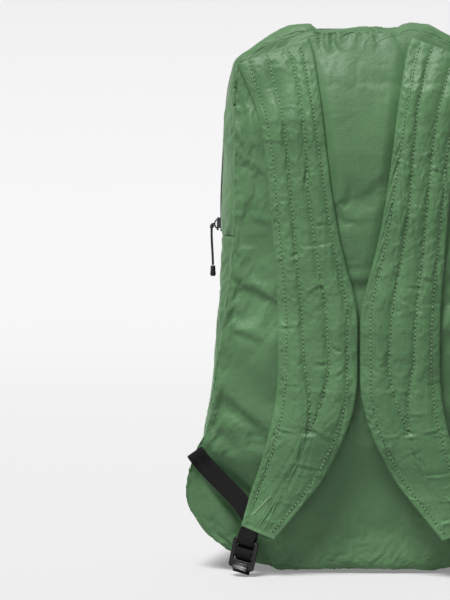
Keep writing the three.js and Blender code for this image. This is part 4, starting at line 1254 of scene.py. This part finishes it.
def sew_strap(grid, rows, name):
    """The stitching along a strap's lines."""
    lines = stitch_shares(rows)
    cells = grid.shape[1] - 1
    runs, holes = [], []
    spans = [(0.25, 18.6), (0.25, STITCH_POINT_ROW), (0.25, STITCH_POINT_ROW), (0.25, 17.7)]
    for k, (first, last) in enumerate(spans):
        chosen = np.flatnonzero((rows >= first) & (rows <= last))
        r, c = even_line(grid, chosen.astype(float), lines[chosen, k] * cells, STITCH_PITCH)
        runs.append(surface_run(grid, r, c, 0.16))
        # Dark dots half a stitch along from each stitch: painted shade at the needle holes.
        centre, way, normal = surface_run(grid, r, c, 0.05)
        holes.append((centre + way * STITCH_PITCH / 2, way, normal))
    stitches(name + "_stitches", runs, 2.3, 0.34, strap_thread)
    stitches(name + "_painted_hole_shades", holes, 1.3, 0.44, hole_shade)
    bar_tack(grid, name)


BAR_TACK = ((0.8, 18.1), (0.62, 17.0))  # share and table row of its two ends


def bar_tack(grid, name):
    """A dense slanting row of short threads that holds the webbing in the strap's end."""
    rows, cells = grid.shape[0] - 1, grid.shape[1] - 1
    (c0, r0), (c1, r1) = BAR_TACK
    fine = strap_rows_even()
    place = np.interp([r0, r1], fine, np.linspace(0, rows, len(fine)))
    count = 26
    r = np.linspace(place[0], place[1], count)
    c = np.linspace(c0, c1, count) * cells
    centre, way, normal = surface_run(grid, r, c, 0.3)
    slant = unit(np.cross(normal, way) + 0.35 * way)
    threads = stitches(name + "_bar_tack", [(centre, slant, normal)], 2.0, 0.33, strap_thread)


WEBBING_WIDTH = 15
WEBBING_THICKNESS = 1.2
WEBBING_CLEARANCE = 0.4
SEAM_GAP = 0.4
ANCHOR_HEIGHT = 97
TAIL_LENGTH = 4
LOCK_WALL = 3.2
LOCK_THICKNESS = 3
LOCK_BAR = 3
LOCK_UPPER_SLOT = 7
LOCK_LOWER_SLOT = 5
LOCK_LIP = 7
LOCK_YAW = 20
LOCK_ROLL = 12
LIP_RISE = 3.3
LIP_WIDTH = 12.6
TAB_LENGTH = 9
TAB_SHARE = 0.72
UPPER_SLOT_END = LOCK_BAR + LOCK_UPPER_SLOT
LOWER_SLOT_START = UPPER_SLOT_END + LOCK_BAR
LOWER_SLOT_END = LOWER_SLOT_START + LOCK_LOWER_SLOT
LOCK_LENGTH = LOWER_SLOT_END + LOCK_LIP
BAR_REACH = LOCK_THICKNESS / 2 + WEBBING_CLEARANCE + WEBBING_THICKNESS / 2


def lock_frame():
    """The left ladder lock's top, and its directions down, across and the way it faces."""
    yaw, roll = math.radians(LOCK_YAW), math.radians(LOCK_ROLL)
    down = np.array([-math.sin(roll) * math.cos(yaw), math.sin(roll) * math.sin(yaw), -math.cos(roll)])
    across = np.array([math.cos(roll) * math.cos(yaw), -math.cos(roll) * math.sin(yaw), -math.sin(roll)])
    facing = np.array([-math.sin(yaw), -math.cos(yaw), 0])
    end = strap_point(-1, LAST_STRAP_ROW, TAB_SHARE, STITCHED_THICKNESS / 2)
    edge = unit(strap_point(-1, LAST_STRAP_ROW, 0.0, 0) - strap_point(-1, LAST_STRAP_ROW, 1.0, 0))
    end_down = unit(np.array([edge[2], 0, -edge[0]]))
    return {"top": end + end_down * TAB_LENGTH, "down": down, "across": across, "facing": facing,
            "end": end, "edge": edge, "end_down": end_down}


LOCK = lock_frame()


def in_lock(across, down, out):
    """A point in the ladder lock's own directions."""
    return LOCK["top"] + LOCK["across"] * across + LOCK["down"] * down + LOCK["facing"] * out


def eased(centres, widths, step):
    """A smooth path through centres, with its width directions, at even steps."""
    centres, widths = np.array(centres), np.array(widths)
    knots = np.concatenate([[0], np.cumsum(np.sqrt(np.linalg.norm(np.diff(centres, axis=0), axis=1)))])
    fine_t, fine = [], []
    for i in range(len(centres) - 1):
        a, b = knots[i], knots[i + 1]
        low, high = max(i - 1, 0), min(i + 2, len(centres) - 1)
        m0 = (centres[i + 1] - centres[low]) / (knots[i + 1] - knots[low])
        m1 = (centres[high] - centres[i]) / (knots[high] - knots[i])
        t = np.linspace(0, 1, 12, endpoint=i == len(centres) - 2)[:, None]
        curve = ((2 * t**3 - 3 * t**2 + 1) * centres[i] + (t**3 - 2 * t**2 + t) * m0 * (b - a)
                 + (3 * t**2 - 2 * t**3) * centres[i + 1] + (t**3 - t**2) * m1 * (b - a))
        fine.append(curve)
        fine_t.append(a + (b - a) * t[:, 0])
    fine, fine_t = np.concatenate(fine), np.concatenate(fine_t)
    along = run_lengths(fine)
    even = np.linspace(0, along[-1], max(2, round(along[-1] / step) + 1))
    t = np.interp(even, along, fine_t)
    centre = np.stack([np.interp(even, along, fine[:, k]) for k in range(3)], -1)
    width = unit(np.stack([np.interp(t, knots, widths[:, k]) for k in range(3)], -1))
    return centre, width


def ribbon(name, centres, widths, width, thickness, material, mirror, step, facing):
    """A flat woven band with rounded edges."""
    centre, w = eased(centres, widths, step)
    along = unit(np.gradient(centre, axis=0))
    w = unit(w - along * np.sum(w * along, 1)[:, None])
    n = np.cross(along, w)
    n *= np.sign(np.sum(n[0] * facing))
    w = np.cross(n, along)
    edge = thickness / 2
    flat = np.linspace(-1, 1, 9) * (width / 2 - edge)
    side = width / 2 - edge
    turn = [(edge * math.cos(a), edge * math.sin(a)) for a in np.radians([45, 0, -45])]
    profile = [(x, edge) for x in flat]
    profile += [(side + x, y) for x, y in turn]
    profile += [(x, -edge) for x in flat[::-1]]
    profile += [(-side - x, y) for x, y in turn[::-1]]
    profile = np.array(profile)
    points = centre[:, None] + w[:, None] * profile[None, :, :1] + n[:, None] * profile[None, :, 1:]
    rows, cols = points.shape[:2]
    index = np.arange(rows * cols).reshape(rows, cols)
    index = np.concatenate([index, index[:, :1]], 1)
    faces = index_quads(index).tolist()
    faces += [index[0, :-1][::-1].tolist(), index[-1, :-1].tolist()]
    if np.sum(np.cross(points[0, 1] - points[0, 0], points[1, 0] - points[0, 0]) * n[0]) < 0:
        faces = [f[::-1] for f in faces]
    run = run_lengths(centre)
    uv = np.stack(np.broadcast_arrays(run[:, None], profile[None, :, 0] + width / 2), -1).reshape(-1, 2)
    points = points.reshape(-1, 3)
    if mirror:
        points = points * [-1, 1, 1]
        faces = [f[::-1] for f in faces]
    return mesh_piece(name, points, faces, material, uv)


def back_under(side, x, z):
    """The back panel's point at x and z, worked out on its left half."""
    point = on_back(-side * x, z)
    return point * [-side, 1, 1]


def webbing_path(side):
    """Centres and width directions of a side webbing in the left one's place."""
    behind = BAR_REACH + WEBBING_THICKNESS + 1.5 * WEBBING_CLEARANCE
    path = [(-TAB_LENGTH, -behind), (0, -behind),
            (LOCK_BAR + 0.2 * LOCK_UPPER_SLOT, -behind),
            (LOCK_BAR + 0.43 * LOCK_UPPER_SLOT, -0.8 * behind),
            (LOCK_BAR + 0.66 * LOCK_UPPER_SLOT, 0.08 * BAR_REACH),
            (LOCK_BAR + 0.89 * LOCK_UPPER_SLOT, 0.8 * BAR_REACH),
            (UPPER_SLOT_END, 1.04 * BAR_REACH), (LOWER_SLOT_START, 1.04 * BAR_REACH),
            (LOWER_SLOT_START + 0.2 * LOCK_LOWER_SLOT, 0.75 * BAR_REACH),
            (LOWER_SLOT_START + 0.5 * LOCK_LOWER_SLOT, 0),
            (LOWER_SLOT_START + 0.8 * LOCK_LOWER_SLOT, -0.75 * BAR_REACH),
            (LOWER_SLOT_END, -1.04 * BAR_REACH), (LOCK_LENGTH, -1.1 * BAR_REACH),
            (LOCK_LENGTH + TAIL_LENGTH, -0.8 * BAR_REACH)]
    seam_x = 0.975 * back_under(side, -BAG_WIDTH, ANCHOR_HEIGHT)[0]
    near = back_under(side, seam_x, ANCHOR_HEIGHT)
    slope = unit(back_under(side, seam_x * 0.96, ANCHOR_HEIGHT - WEBBING_WIDTH / 2) - near)
    wide = unit(np.array([0, 0, 1]) - slope * slope[2])
    out = unit(np.cross(slope, wide))
    out *= -np.sign(out[1])
    anchor = near + out * (SEAM_GAP + WEBBING_THICKNESS / 2)
    entry = in_lock(0, *path[0])
    start, finish = slope * 0.9 * ANCHOR_HEIGHT, LOCK["down"] * 0.6 * ANCHOR_HEIGHT
    centres, widths = [], []
    for i in range(9):
        t = i / 9
        c = (anchor * (2 * t**3 - 3 * t**2 + 1) + start * (t**3 - 2 * t**2 + t)
             + entry * (3 * t**2 - 2 * t**3) + finish * (t**3 - t**2))
        w = unit(wide * (1 - t) + LOCK["across"] * t)
        edges = c + np.linspace(-0.5, 0.5, 5)[:, None] * WEBBING_WIDTH * w
        edges[:, 1] += WEBBING_THICKNESS / 2
        deep = max(edge[1] - back_under(side, edge[0], edge[2])[1] + SEAM_GAP for edge in edges)
        centres.append(c - [0, max(0, deep), 0])
        widths.append(w)
    for down, outward in path:
        centres.append(in_lock(0, down, outward))
        widths.append(LOCK["across"])
    leads = [centres[0] - slope * 1.5 + [0, 7, 0], centres[0] - slope * 3.2 + [0, 2.2, 0]]
    return leads + centres, widths[:1] * 2 + widths


def curve_plate(outline, holes, thickness, bevel):
    """A flat plate with holes and rounded edges, in its own plane: lists of points in millimetres."""
    data = bpy.data.curves.new("plate_trial", "CURVE")
    data.dimensions = "2D"
    data.fill_mode = "BOTH"
    data.extrude = thickness / 2 - bevel
    data.bevel_depth = bevel
    data.bevel_resolution = 2
    data.offset = -bevel
    for loop in (outline, *holes):
        line = data.splines.new("POLY")
        line.points.add(len(loop) - 1)
        for point, (x, y) in zip(line.points, loop):
            point.co = (x, y, 0, 1)
        line.use_cyclic_u = True
    obj = in_scene("plate_trial", data)
    bpy.context.view_layer.update()
    mesh = bpy.data.meshes.new_from_object(obj.evaluated_get(bpy.context.evaluated_depsgraph_get()))
    bm = bmesh.new()
    bm.from_mesh(mesh)
    bmesh.ops.remove_doubles(bm, verts=bm.verts, dist=1e-4)
    bmesh.ops.recalc_face_normals(bm, faces=bm.faces)
    points = np.array([v.co[:] for v in bm.verts])
    faces = [[v.index for v in f.verts] for f in bm.faces]
    bm.free()
    bpy.data.objects.remove(obj)
    bpy.data.curves.remove(data)
    bpy.data.meshes.remove(mesh)
    return points, faces


def rounded_loop(x0, y0, x1, y1, radius, steps=5):
    """A rectangle with rounded corners, anticlockwise."""
    loop = []
    for cx, cy, first in ((x1 - radius, y1 - radius, 0), (x0 + radius, y1 - radius, 90),
                          (x0 + radius, y0 + radius, 180), (x1 - radius, y0 + radius, 270)):
        for a in np.radians(np.linspace(first, first + 90, steps)):
            loop.append((cx + radius * math.cos(a), cy + radius * math.sin(a)))
    return loop


def swept_bar(section, width, ends=0.7):
    """A bar with this section in its y and z, from side to side, with its ends drawn in a little."""
    section = np.array(section)
    middle = section.mean(0)
    inward = middle - section
    spread = np.linalg.norm(inward, axis=1)
    half = width / 2
    points = []
    for x, shrink in ((-half, ends), (-half + 0.35, 0.1), (half - 0.35, 0.1), (half, ends)):
        ring = section + inward * np.minimum(1, shrink / spread)[:, None]
        points += [(x, y, z) for y, z in ring]
    count = len(section)
    faces = ring_quads(4, count)
    faces.append(list(range(count))[::-1])
    faces.append(list(range(3 * count, 4 * count)))
    return np.array(points), faces


def outward_faces(points, faces):
    """The same faces, turned so that a closed body's normals point out."""
    points = np.asarray(points)
    volume = 0
    for face in faces:
        a = points[face[0]]
        for i in range(1, len(face) - 1):
            volume += np.dot(a, np.cross(points[face[i]], points[face[i + 1]]))
    return faces if volume > 0 else [list(f)[::-1] for f in faces]


def joined(bodies):
    """The points and faces of several bodies as one."""
    points, faces, base = [], [], 0
    for body_points, body_faces in bodies:
        points.append(np.asarray(body_points))
        faces += [[i + base for i in f] for f in body_faces]
        base += len(body_points)
    return np.concatenate(points), faces


def lock_body():
    """The ladder lock in its own frame: x across, y up from its upper edge, z the way it faces."""
    half = (WEBBING_WIDTH + 2 * WEBBING_CLEARANCE) / 2
    wide = half + LOCK_WALL
    outline = rounded_loop(-wide, -LOCK_LENGTH, wide, 0, 2.2)
    slots = [rounded_loop(-half, -to, half, -start, 0.7, 3)[::-1]
             for start, to in ((LOCK_BAR, UPPER_SLOT_END), (LOWER_SLOT_START, LOWER_SLOT_END))]
    plate = curve_plate(outline, slots, LOCK_THICKNESS, 0.55)
    half_lip = LOCK_THICKNESS / 2
    lip = [(-LOWER_SLOT_END - 0.8, 0.2), (-LOWER_SLOT_END - 1.6, half_lip + 0.5),
           (-LOWER_SLOT_END - 3.4, half_lip + 1.1), (-LOCK_LENGTH + 1.4, half_lip + 2.2),
           (-LOCK_LENGTH + 1.0, half_lip + LIP_RISE - 0.4), (-LOCK_LENGTH + 0.2, half_lip + LIP_RISE),
           (-LOCK_LENGTH - 0.7, half_lip + LIP_RISE - 0.3), (-LOCK_LENGTH - 0.9, half_lip + 1.6),
           (-LOCK_LENGTH - 0.2, 0.4), (-LOCK_LENGTH + 0.8, -0.4)]
    tongue = swept_bar(lip, LIP_WIDTH)
    ribs = []
    for k in range(4):
        y = -LOWER_SLOT_END - 2.2 - k * 1.1
        z = half_lip + 0.55 + k * 0.36
        ring = [(y + 0.28 * math.cos(a), z + 0.42 * math.sin(a)) for a in np.linspace(0, 2 * math.pi, 9)[:-1]]
        ribs.append(swept_bar(ring, LIP_WIDTH - 2.4, 0.25))
    bodies = [(p, outward_faces(p, f)) for p, f in (plate, tongue, *ribs)]
    return joined(bodies)


def make_hardware():
    """Locks, strap tabs and side webbing, on both sides."""
    points, faces = lock_body()
    placed = LOCK["top"] + np.outer(points[:, 0], LOCK["across"]) - np.outer(points[:, 1], LOCK["down"])
    placed = placed + np.outer(points[:, 2], LOCK["facing"])
    strand = (WEBBING_THICKNESS + SEAM_GAP) / 2
    tab = [(-TAB_LENGTH / 3, (strand + 2 * BAR_REACH) / 3), (-WEBBING_THICKNESS, BAR_REACH),
           (LOCK_BAR, BAR_REACH), (LOCK_BAR + WEBBING_CLEARANCE + WEBBING_THICKNESS / 2, LOCK_THICKNESS / 2)]
    start = LOCK["end"] + LOCK["end_down"] * SEAM_GAP
    inside = LOCK["end"] - LOCK["end_down"] * 1.2
    reach = strand * 0.5
    centres = [inside + LOCK["facing"] * reach, start + LOCK["facing"] * strand]
    centres += [in_lock(0, down, out) for down, out in tab]
    centres += [in_lock(0, down, -out) for down, out in tab[::-1]]
    centres += [start - LOCK["facing"] * strand, inside - LOCK["facing"] * reach]
    widths = [LOCK["edge"]] * 2 + [LOCK["across"]] * (2 * len(tab)) + [LOCK["edge"]] * 2
    for side, name in ((-1, "left"), (1, "right")):
        mirror = side == 1
        body = placed * [-1, 1, 1] if mirror else placed
        lock = mesh_piece("ladder_lock_%s_body" % name, body,
                          outward_faces(body, faces), black_plastic, smooth=False)
        shade_by_angle(lock, 40)
        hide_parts("ladder_lock_" + name)
        loop = ribbon("strap_tab_%s_web" % name, centres, widths, WEBBING_WIDTH, WEBBING_THICKNESS, black_web,
                      mirror, 0.8, LOCK["facing"])
        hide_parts("strap_tab_" + name)
        web = ribbon("side_webbing_%s_web" % name, *webbing_path(side), WEBBING_WIDTH, WEBBING_THICKNESS,
                     black_web, mirror, 1.3, np.array([0, -1, 0]))
        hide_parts("side_webbing_" + name)


def shade_by_angle(obj, degrees):
    """Smooth faces with edges kept sharp where the surface turns by more than this."""
    bm = bmesh.new()
    bm.from_mesh(obj.data)
    for face in bm.faces:
        face.smooth = True
    for edge in bm.edges:
        edge.smooth = len(edge.link_faces) == 2 and edge.calc_face_angle(0) < math.radians(degrees)
    bm.to_mesh(obj.data)
    bm.free()


TAPE_UNDER = 3.5  # of tape under the cloth on each side
COIL_PITCH = 1.5
COIL_HEIGHT = 1.5
SLIDER_ABOVE = 10  # from the zip's left end to the slider's middle
SLIDER_LENGTH = 11
SLIDER_WIDTH = 9
SLIDER_WALL = 1.2
SLIDER_ROOF = COIL_HEIGHT + 2 * SEAM_GAP
BAIL_HEIGHT = 3.2
PULL_LENGTH = 35
PULL_DIAMETER = 2


def zip_edges(row):
    """The zip's two edges on the bag's left side at a whole table row, and the way that it faces."""
    rows = np.array([row - 1, row, row + 1])
    backs, fronts = panel_point(True, rows, -1.0), panel_point(False, rows, -1.0)
    below, _, above = (backs + fronts) / 2
    facing = unit(np.array([below[2] - above[2], 0, above[0] - below[0]]))
    back, front = backs[1], fronts[1]
    shares = gusset_shares(rows[1:2], np.linalg.norm(front - back)[None])[0, [TAPE_FIRST, TAPE_LAST], None]
    crown = np.minimum(1, GUSSET_RISE * (1 - np.abs(2 * shares - 1) ** GUSSET_CROWN))
    return back + (front - back) * shares + facing * BAG_ROWS[row, SIDE_SW] * SIDE_SWELL * crown, facing


def slider_frame():
    """The slider's foot on the zip, and its directions across the zip, along it and outwards."""
    edges, facing = zip_edges(ZIP_END_ROW + 1)
    end = zip_edges(ZIP_END_ROW)[0].mean(0)
    across = unit(edges[1] - edges[0])
    along = end - zip_edges(ZIP_END_ROW + 2)[0].mean(0)
    along = unit(along - across * np.dot(along, across))
    out = np.cross(across, along)
    if np.dot(out, facing) < 0:
        along, out = -along, -out
    centre = end + unit(edges.mean(0) - end) * SLIDER_ABOVE
    return centre + out * SEAM_GAP, across, along, out


SLIDER_FOOT, SLIDER_ACROSS, SLIDER_ALONG, SLIDER_OUT = slider_frame()
# The pull cord's route from the bail's crest. Columns: x and y, and down in shares of its length
PULL_TABLE = np.array([
    [0, 0, 0],
    [-0.5, 0, 0.1],
    [-0.6, 0.2, 0.26],
    [-0.4, 0.5, 0.46],
    [0, 0.7, 0.65],
    [0.3, 0.6, 0.82],
    [0.5, 0.5, 1],
])
PULL_REACH = SLIDER_ROOF + SLIDER_WALL + BAIL_HEIGHT + PULL_DIAMETER / 2
PULL_ROUTE = np.round(SLIDER_FOOT + SLIDER_OUT * PULL_REACH + PULL_TABLE * [1, 1, -PULL_LENGTH], 3)
GRIP_LENGTH = 9
GRIP_WIDTH = 5


def tube(path, radius, sides=12, closed=False):
    """Points and faces of a round tube along a path."""
    path = np.array(path)
    step = np.roll(path, -1, 0) - np.roll(path, 1, 0) if closed else np.gradient(path, axis=0)
    along = unit(step)
    side = unit(np.cross(along[0], [0.3, 0.9, 0.2]))
    points = []
    for i in range(len(path)):
        side = unit(side - along[i] * np.dot(side, along[i]))
        up = np.cross(along[i], side)
        for k in range(sides):
            a = 2 * math.pi * k / sides
            points.append(path[i] + radius * (side * math.cos(a) + up * math.sin(a)))
    rows = len(path)
    faces = []
    for i in range(rows if closed else rows - 1):
        j = (i + 1) % rows
        for k in range(sides):
            n = (k + 1) % sides
            faces.append((i * sides + k, i * sides + n, j * sides + n, j * sides + k))
    if not closed:
        faces.append(list(range(sides))[::-1])
        faces.append(list(range((rows - 1) * sides, rows * sides)))
    return np.array(points), outward_faces(points, faces)


def make_zip(skin, settled, normal):
    """The zip's tape and its coil, on the settled skin."""
    ring_rows = skin["rows"][skin["ring"][:, 0]]
    stations = np.flatnonzero(ring_rows >= ZIP_END_ROW)
    band = settled[skin["gusset"][stations][:, TAPE_FIRST:TAPE_LAST + 1]]
    out = normal[skin["gusset"][stations][:, TAPE_FIRST:TAPE_LAST + 1]]
    way = unit(band[:, -1] - band[:, 0])
    low = band - out * 0.3
    first = low[:, 0] - way * TAPE_UNDER - out[:, 0] * 0.9
    last = low[:, -1] + way * TAPE_UNDER - out[:, -1] * 0.9
    grid = np.concatenate([first[:, None], low, last[:, None]], 1)
    faces = grid_faces(*grid.shape[:2])
    tape = mesh_piece("zip_tape_web", grid.reshape(-1, 3), faces, tape_web, grid_uv(grid))
    thick = tape.modifiers.new("Solidify", "SOLIDIFY")
    thick.thickness = 0.7 * MM
    thick.offset = -1
    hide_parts("zip_tape")

    centre = 0.5 * (band[:, 0] + band[:, -1])
    middle = band.shape[1] // 2
    across = unit(band[:, -1] - band[:, 0])
    outward = unit(out[:, middle])
    along = run_lengths(centre)
    count = int((along[-1] - 2) / COIL_PITCH)
    at = 1 + (np.arange(2 * count) + 0.5) * COIL_PITCH / 2

    def drawn(values):
        return np.stack([np.interp(at, along, values[:, k]) for k in range(3)], -1)

    c, w, n = drawn(centre), unit(drawn(across)), unit(drawn(outward))
    t = unit(np.cross(w, n))
    c = c + n * 0.55
    side = np.where(np.arange(2 * count) % 2 == 0, 1, -1)[:, None]
    loop = [(2.3, -0.45, 0.2), (2.3, 0.4, 0.1), (1.2, 0.55, 0), (-0.4, 0.5, 0), (-0.75, 0.1, 0),
            (-0.4, -0.4, 0), (1.2, -0.5, 0.1)]
    bodies = []
    for i in range(2 * count):
        path = [c[i] + side[i] * w[i] * x + n[i] * z + t[i] * y for x, z, y in loop]
        bodies.append(tube(path, 0.34, 5, True))
    coil = mesh_piece("zip_coil_teeth", *joined(bodies), coil_plastic)
    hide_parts("zip_coil")


def in_slider(points):
    """Points in the slider's own directions, from its foot."""
    points = np.asarray(points, float)
    return (SLIDER_FOOT + np.outer(points[:, 0], SLIDER_ACROSS) + np.outer(points[:, 1], SLIDER_ALONG)
            + np.outer(points[:, 2], SLIDER_OUT))


def make_slider():
    """The zip's slider, its pull cord and the cord's grip."""
    half = SLIDER_WIDTH / 2
    top = [(-half + 0.2, SLIDER_LENGTH * -0.5), (half - 0.2, SLIDER_LENGTH * -0.5), (half, -2.0),
           (half - 1.1, 2.6), (half - 1.7, SLIDER_LENGTH * 0.5 - 0.5), (half - 2.4, SLIDER_LENGTH * 0.5),
           (-half + 2.4, SLIDER_LENGTH * 0.5), (-half + 1.7, SLIDER_LENGTH * 0.5 - 0.5),
           (-half + 1.1, 2.6), (-half, -2.0)]
    plate_points, plate_faces = curve_plate(top, [], SLIDER_WALL + 0.2, 0.4)
    plate_points = plate_points + [0, 0, SLIDER_ROOF + SLIDER_WALL / 2]
    bodies = [(plate_points, plate_faces)]
    head, tail = -SLIDER_LENGTH / 2 + 0.3, SLIDER_LENGTH / 2 - 2.2
    wall = rounded_loop(head, 0.05, tail, SLIDER_ROOF + 0.5, 0.5, 3)
    for sign in (-1, 1):
        p, f = curve_plate(wall, [], 0.9, 0.25)
        p = np.stack([p[:, 2] + sign * (half - 0.5), p[:, 0], p[:, 1]], -1)
        bodies.append((p, f))
    angle = np.linspace(0, math.pi, 15)
    reach = SLIDER_LENGTH / 2 - SLIDER_WALL - 0.6
    arch = np.stack([0 * angle, reach * np.cos(angle), SLIDER_ROOF + SLIDER_WALL - 0.5
                     + (BAIL_HEIGHT - 0.5) * np.sin(angle)], -1)
    p, f = tube(arch, 0.62, 10)
    p[:, 0] *= 1.5
    bodies.append((p, f))
    points, faces = joined([(p, outward_faces(p, f)) for p, f in bodies])
    slider = mesh_piece("zip_slider_body", in_slider(points), faces, slider_paint, smooth=False)
    shade_by_angle(slider, 35)
    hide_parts("zip_slider")

    bail_top = SLIDER_ROOF + SLIDER_WALL + BAIL_HEIGHT - 1.1
    eye = SLIDER_FOOT + SLIDER_OUT * bail_top
    route = eased(PULL_ROUTE, np.tile([0.0, 1, 0], (len(PULL_ROUTE), 1)), 1.0)[0]
    cord = mesh_piece("zip_pull_cord_line", *tube(route, 1.0, 12), cord_cloth)
    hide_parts("zip_pull_cord")
    turns = np.linspace(0, 2 * math.pi, 20, endpoint=False)
    top = PULL_ROUTE[0]
    middle = (top + eye) / 2
    axis = unit(top - eye)
    size = np.linalg.norm(top - eye) / 2
    loop = [middle + axis * size * math.cos(a) + SLIDER_ACROSS * 1.5 * math.sin(a) for a in turns]
    bodies = [tube(loop, 0.6, 8, True)]
    for k, z in enumerate((-1.6, -3.1)):
        centre = np.array([np.interp(-z, [0, 3.5], [top[i], PULL_ROUTE[1][i]]) for i in range(3)])
        knot = [centre + [1.25 * math.cos(a), 1.25 * math.sin(a), 0.35 * math.sin(a + k)] for a in turns]
        bodies.append(tube(knot, 0.62, 8, True))
    binding = mesh_piece("zip_pull_binding", *joined(bodies), cord_cloth)

    profile = [(0.0, 0.0), (0.25, 0.0), (0.36, 0.03), (0.42, 0.1), (0.4, 0.2), (0.44, 0.26), (0.4, 0.32),
               (0.44, 0.4), (0.4, 0.46), (0.45, 0.54), (0.46, 0.66), (0.48, 0.8), (0.46, 0.9), (0.4, 0.96),
               (0.28, 1.0), (0.0, 1.0)]
    base = PULL_ROUTE[-1] - [0, 0, SEAM_GAP]
    sides = 20
    points = [base]
    for across, down in profile[1:-1]:
        for k in range(sides):
            a = 2 * math.pi * k / sides
            wide = across * GRIP_WIDTH
            points.append(base + [wide * math.cos(a), wide * 0.86 * math.sin(a), -down * GRIP_LENGTH])
    points.append(base - [0, 0, GRIP_LENGTH])
    faces = [[0, 1 + k, 1 + (k + 1) % sides] for k in range(sides)]
    rings = len(profile) - 2
    faces += ring_quads(rings, sides, 1)
    last = len(points) - 1
    low_ring = 1 + (rings - 1) * sides
    faces += [[last, low_ring + (k + 1) % sides, low_ring + k] for k in range(sides)]
    grip = mesh_piece("zip_pull_grip_body", points, outward_faces(points, faces), black_plastic)
    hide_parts("zip_pull_grip")


add_camera()
make_slider()
add_studio()
bag, bag_points, bag_normals = make_bag()
make_strap(-1, "shoulder_strap_left")
make_strap(1, "shoulder_strap_right")
make_hardware()
make_zip(bag, bag_points, bag_normals)
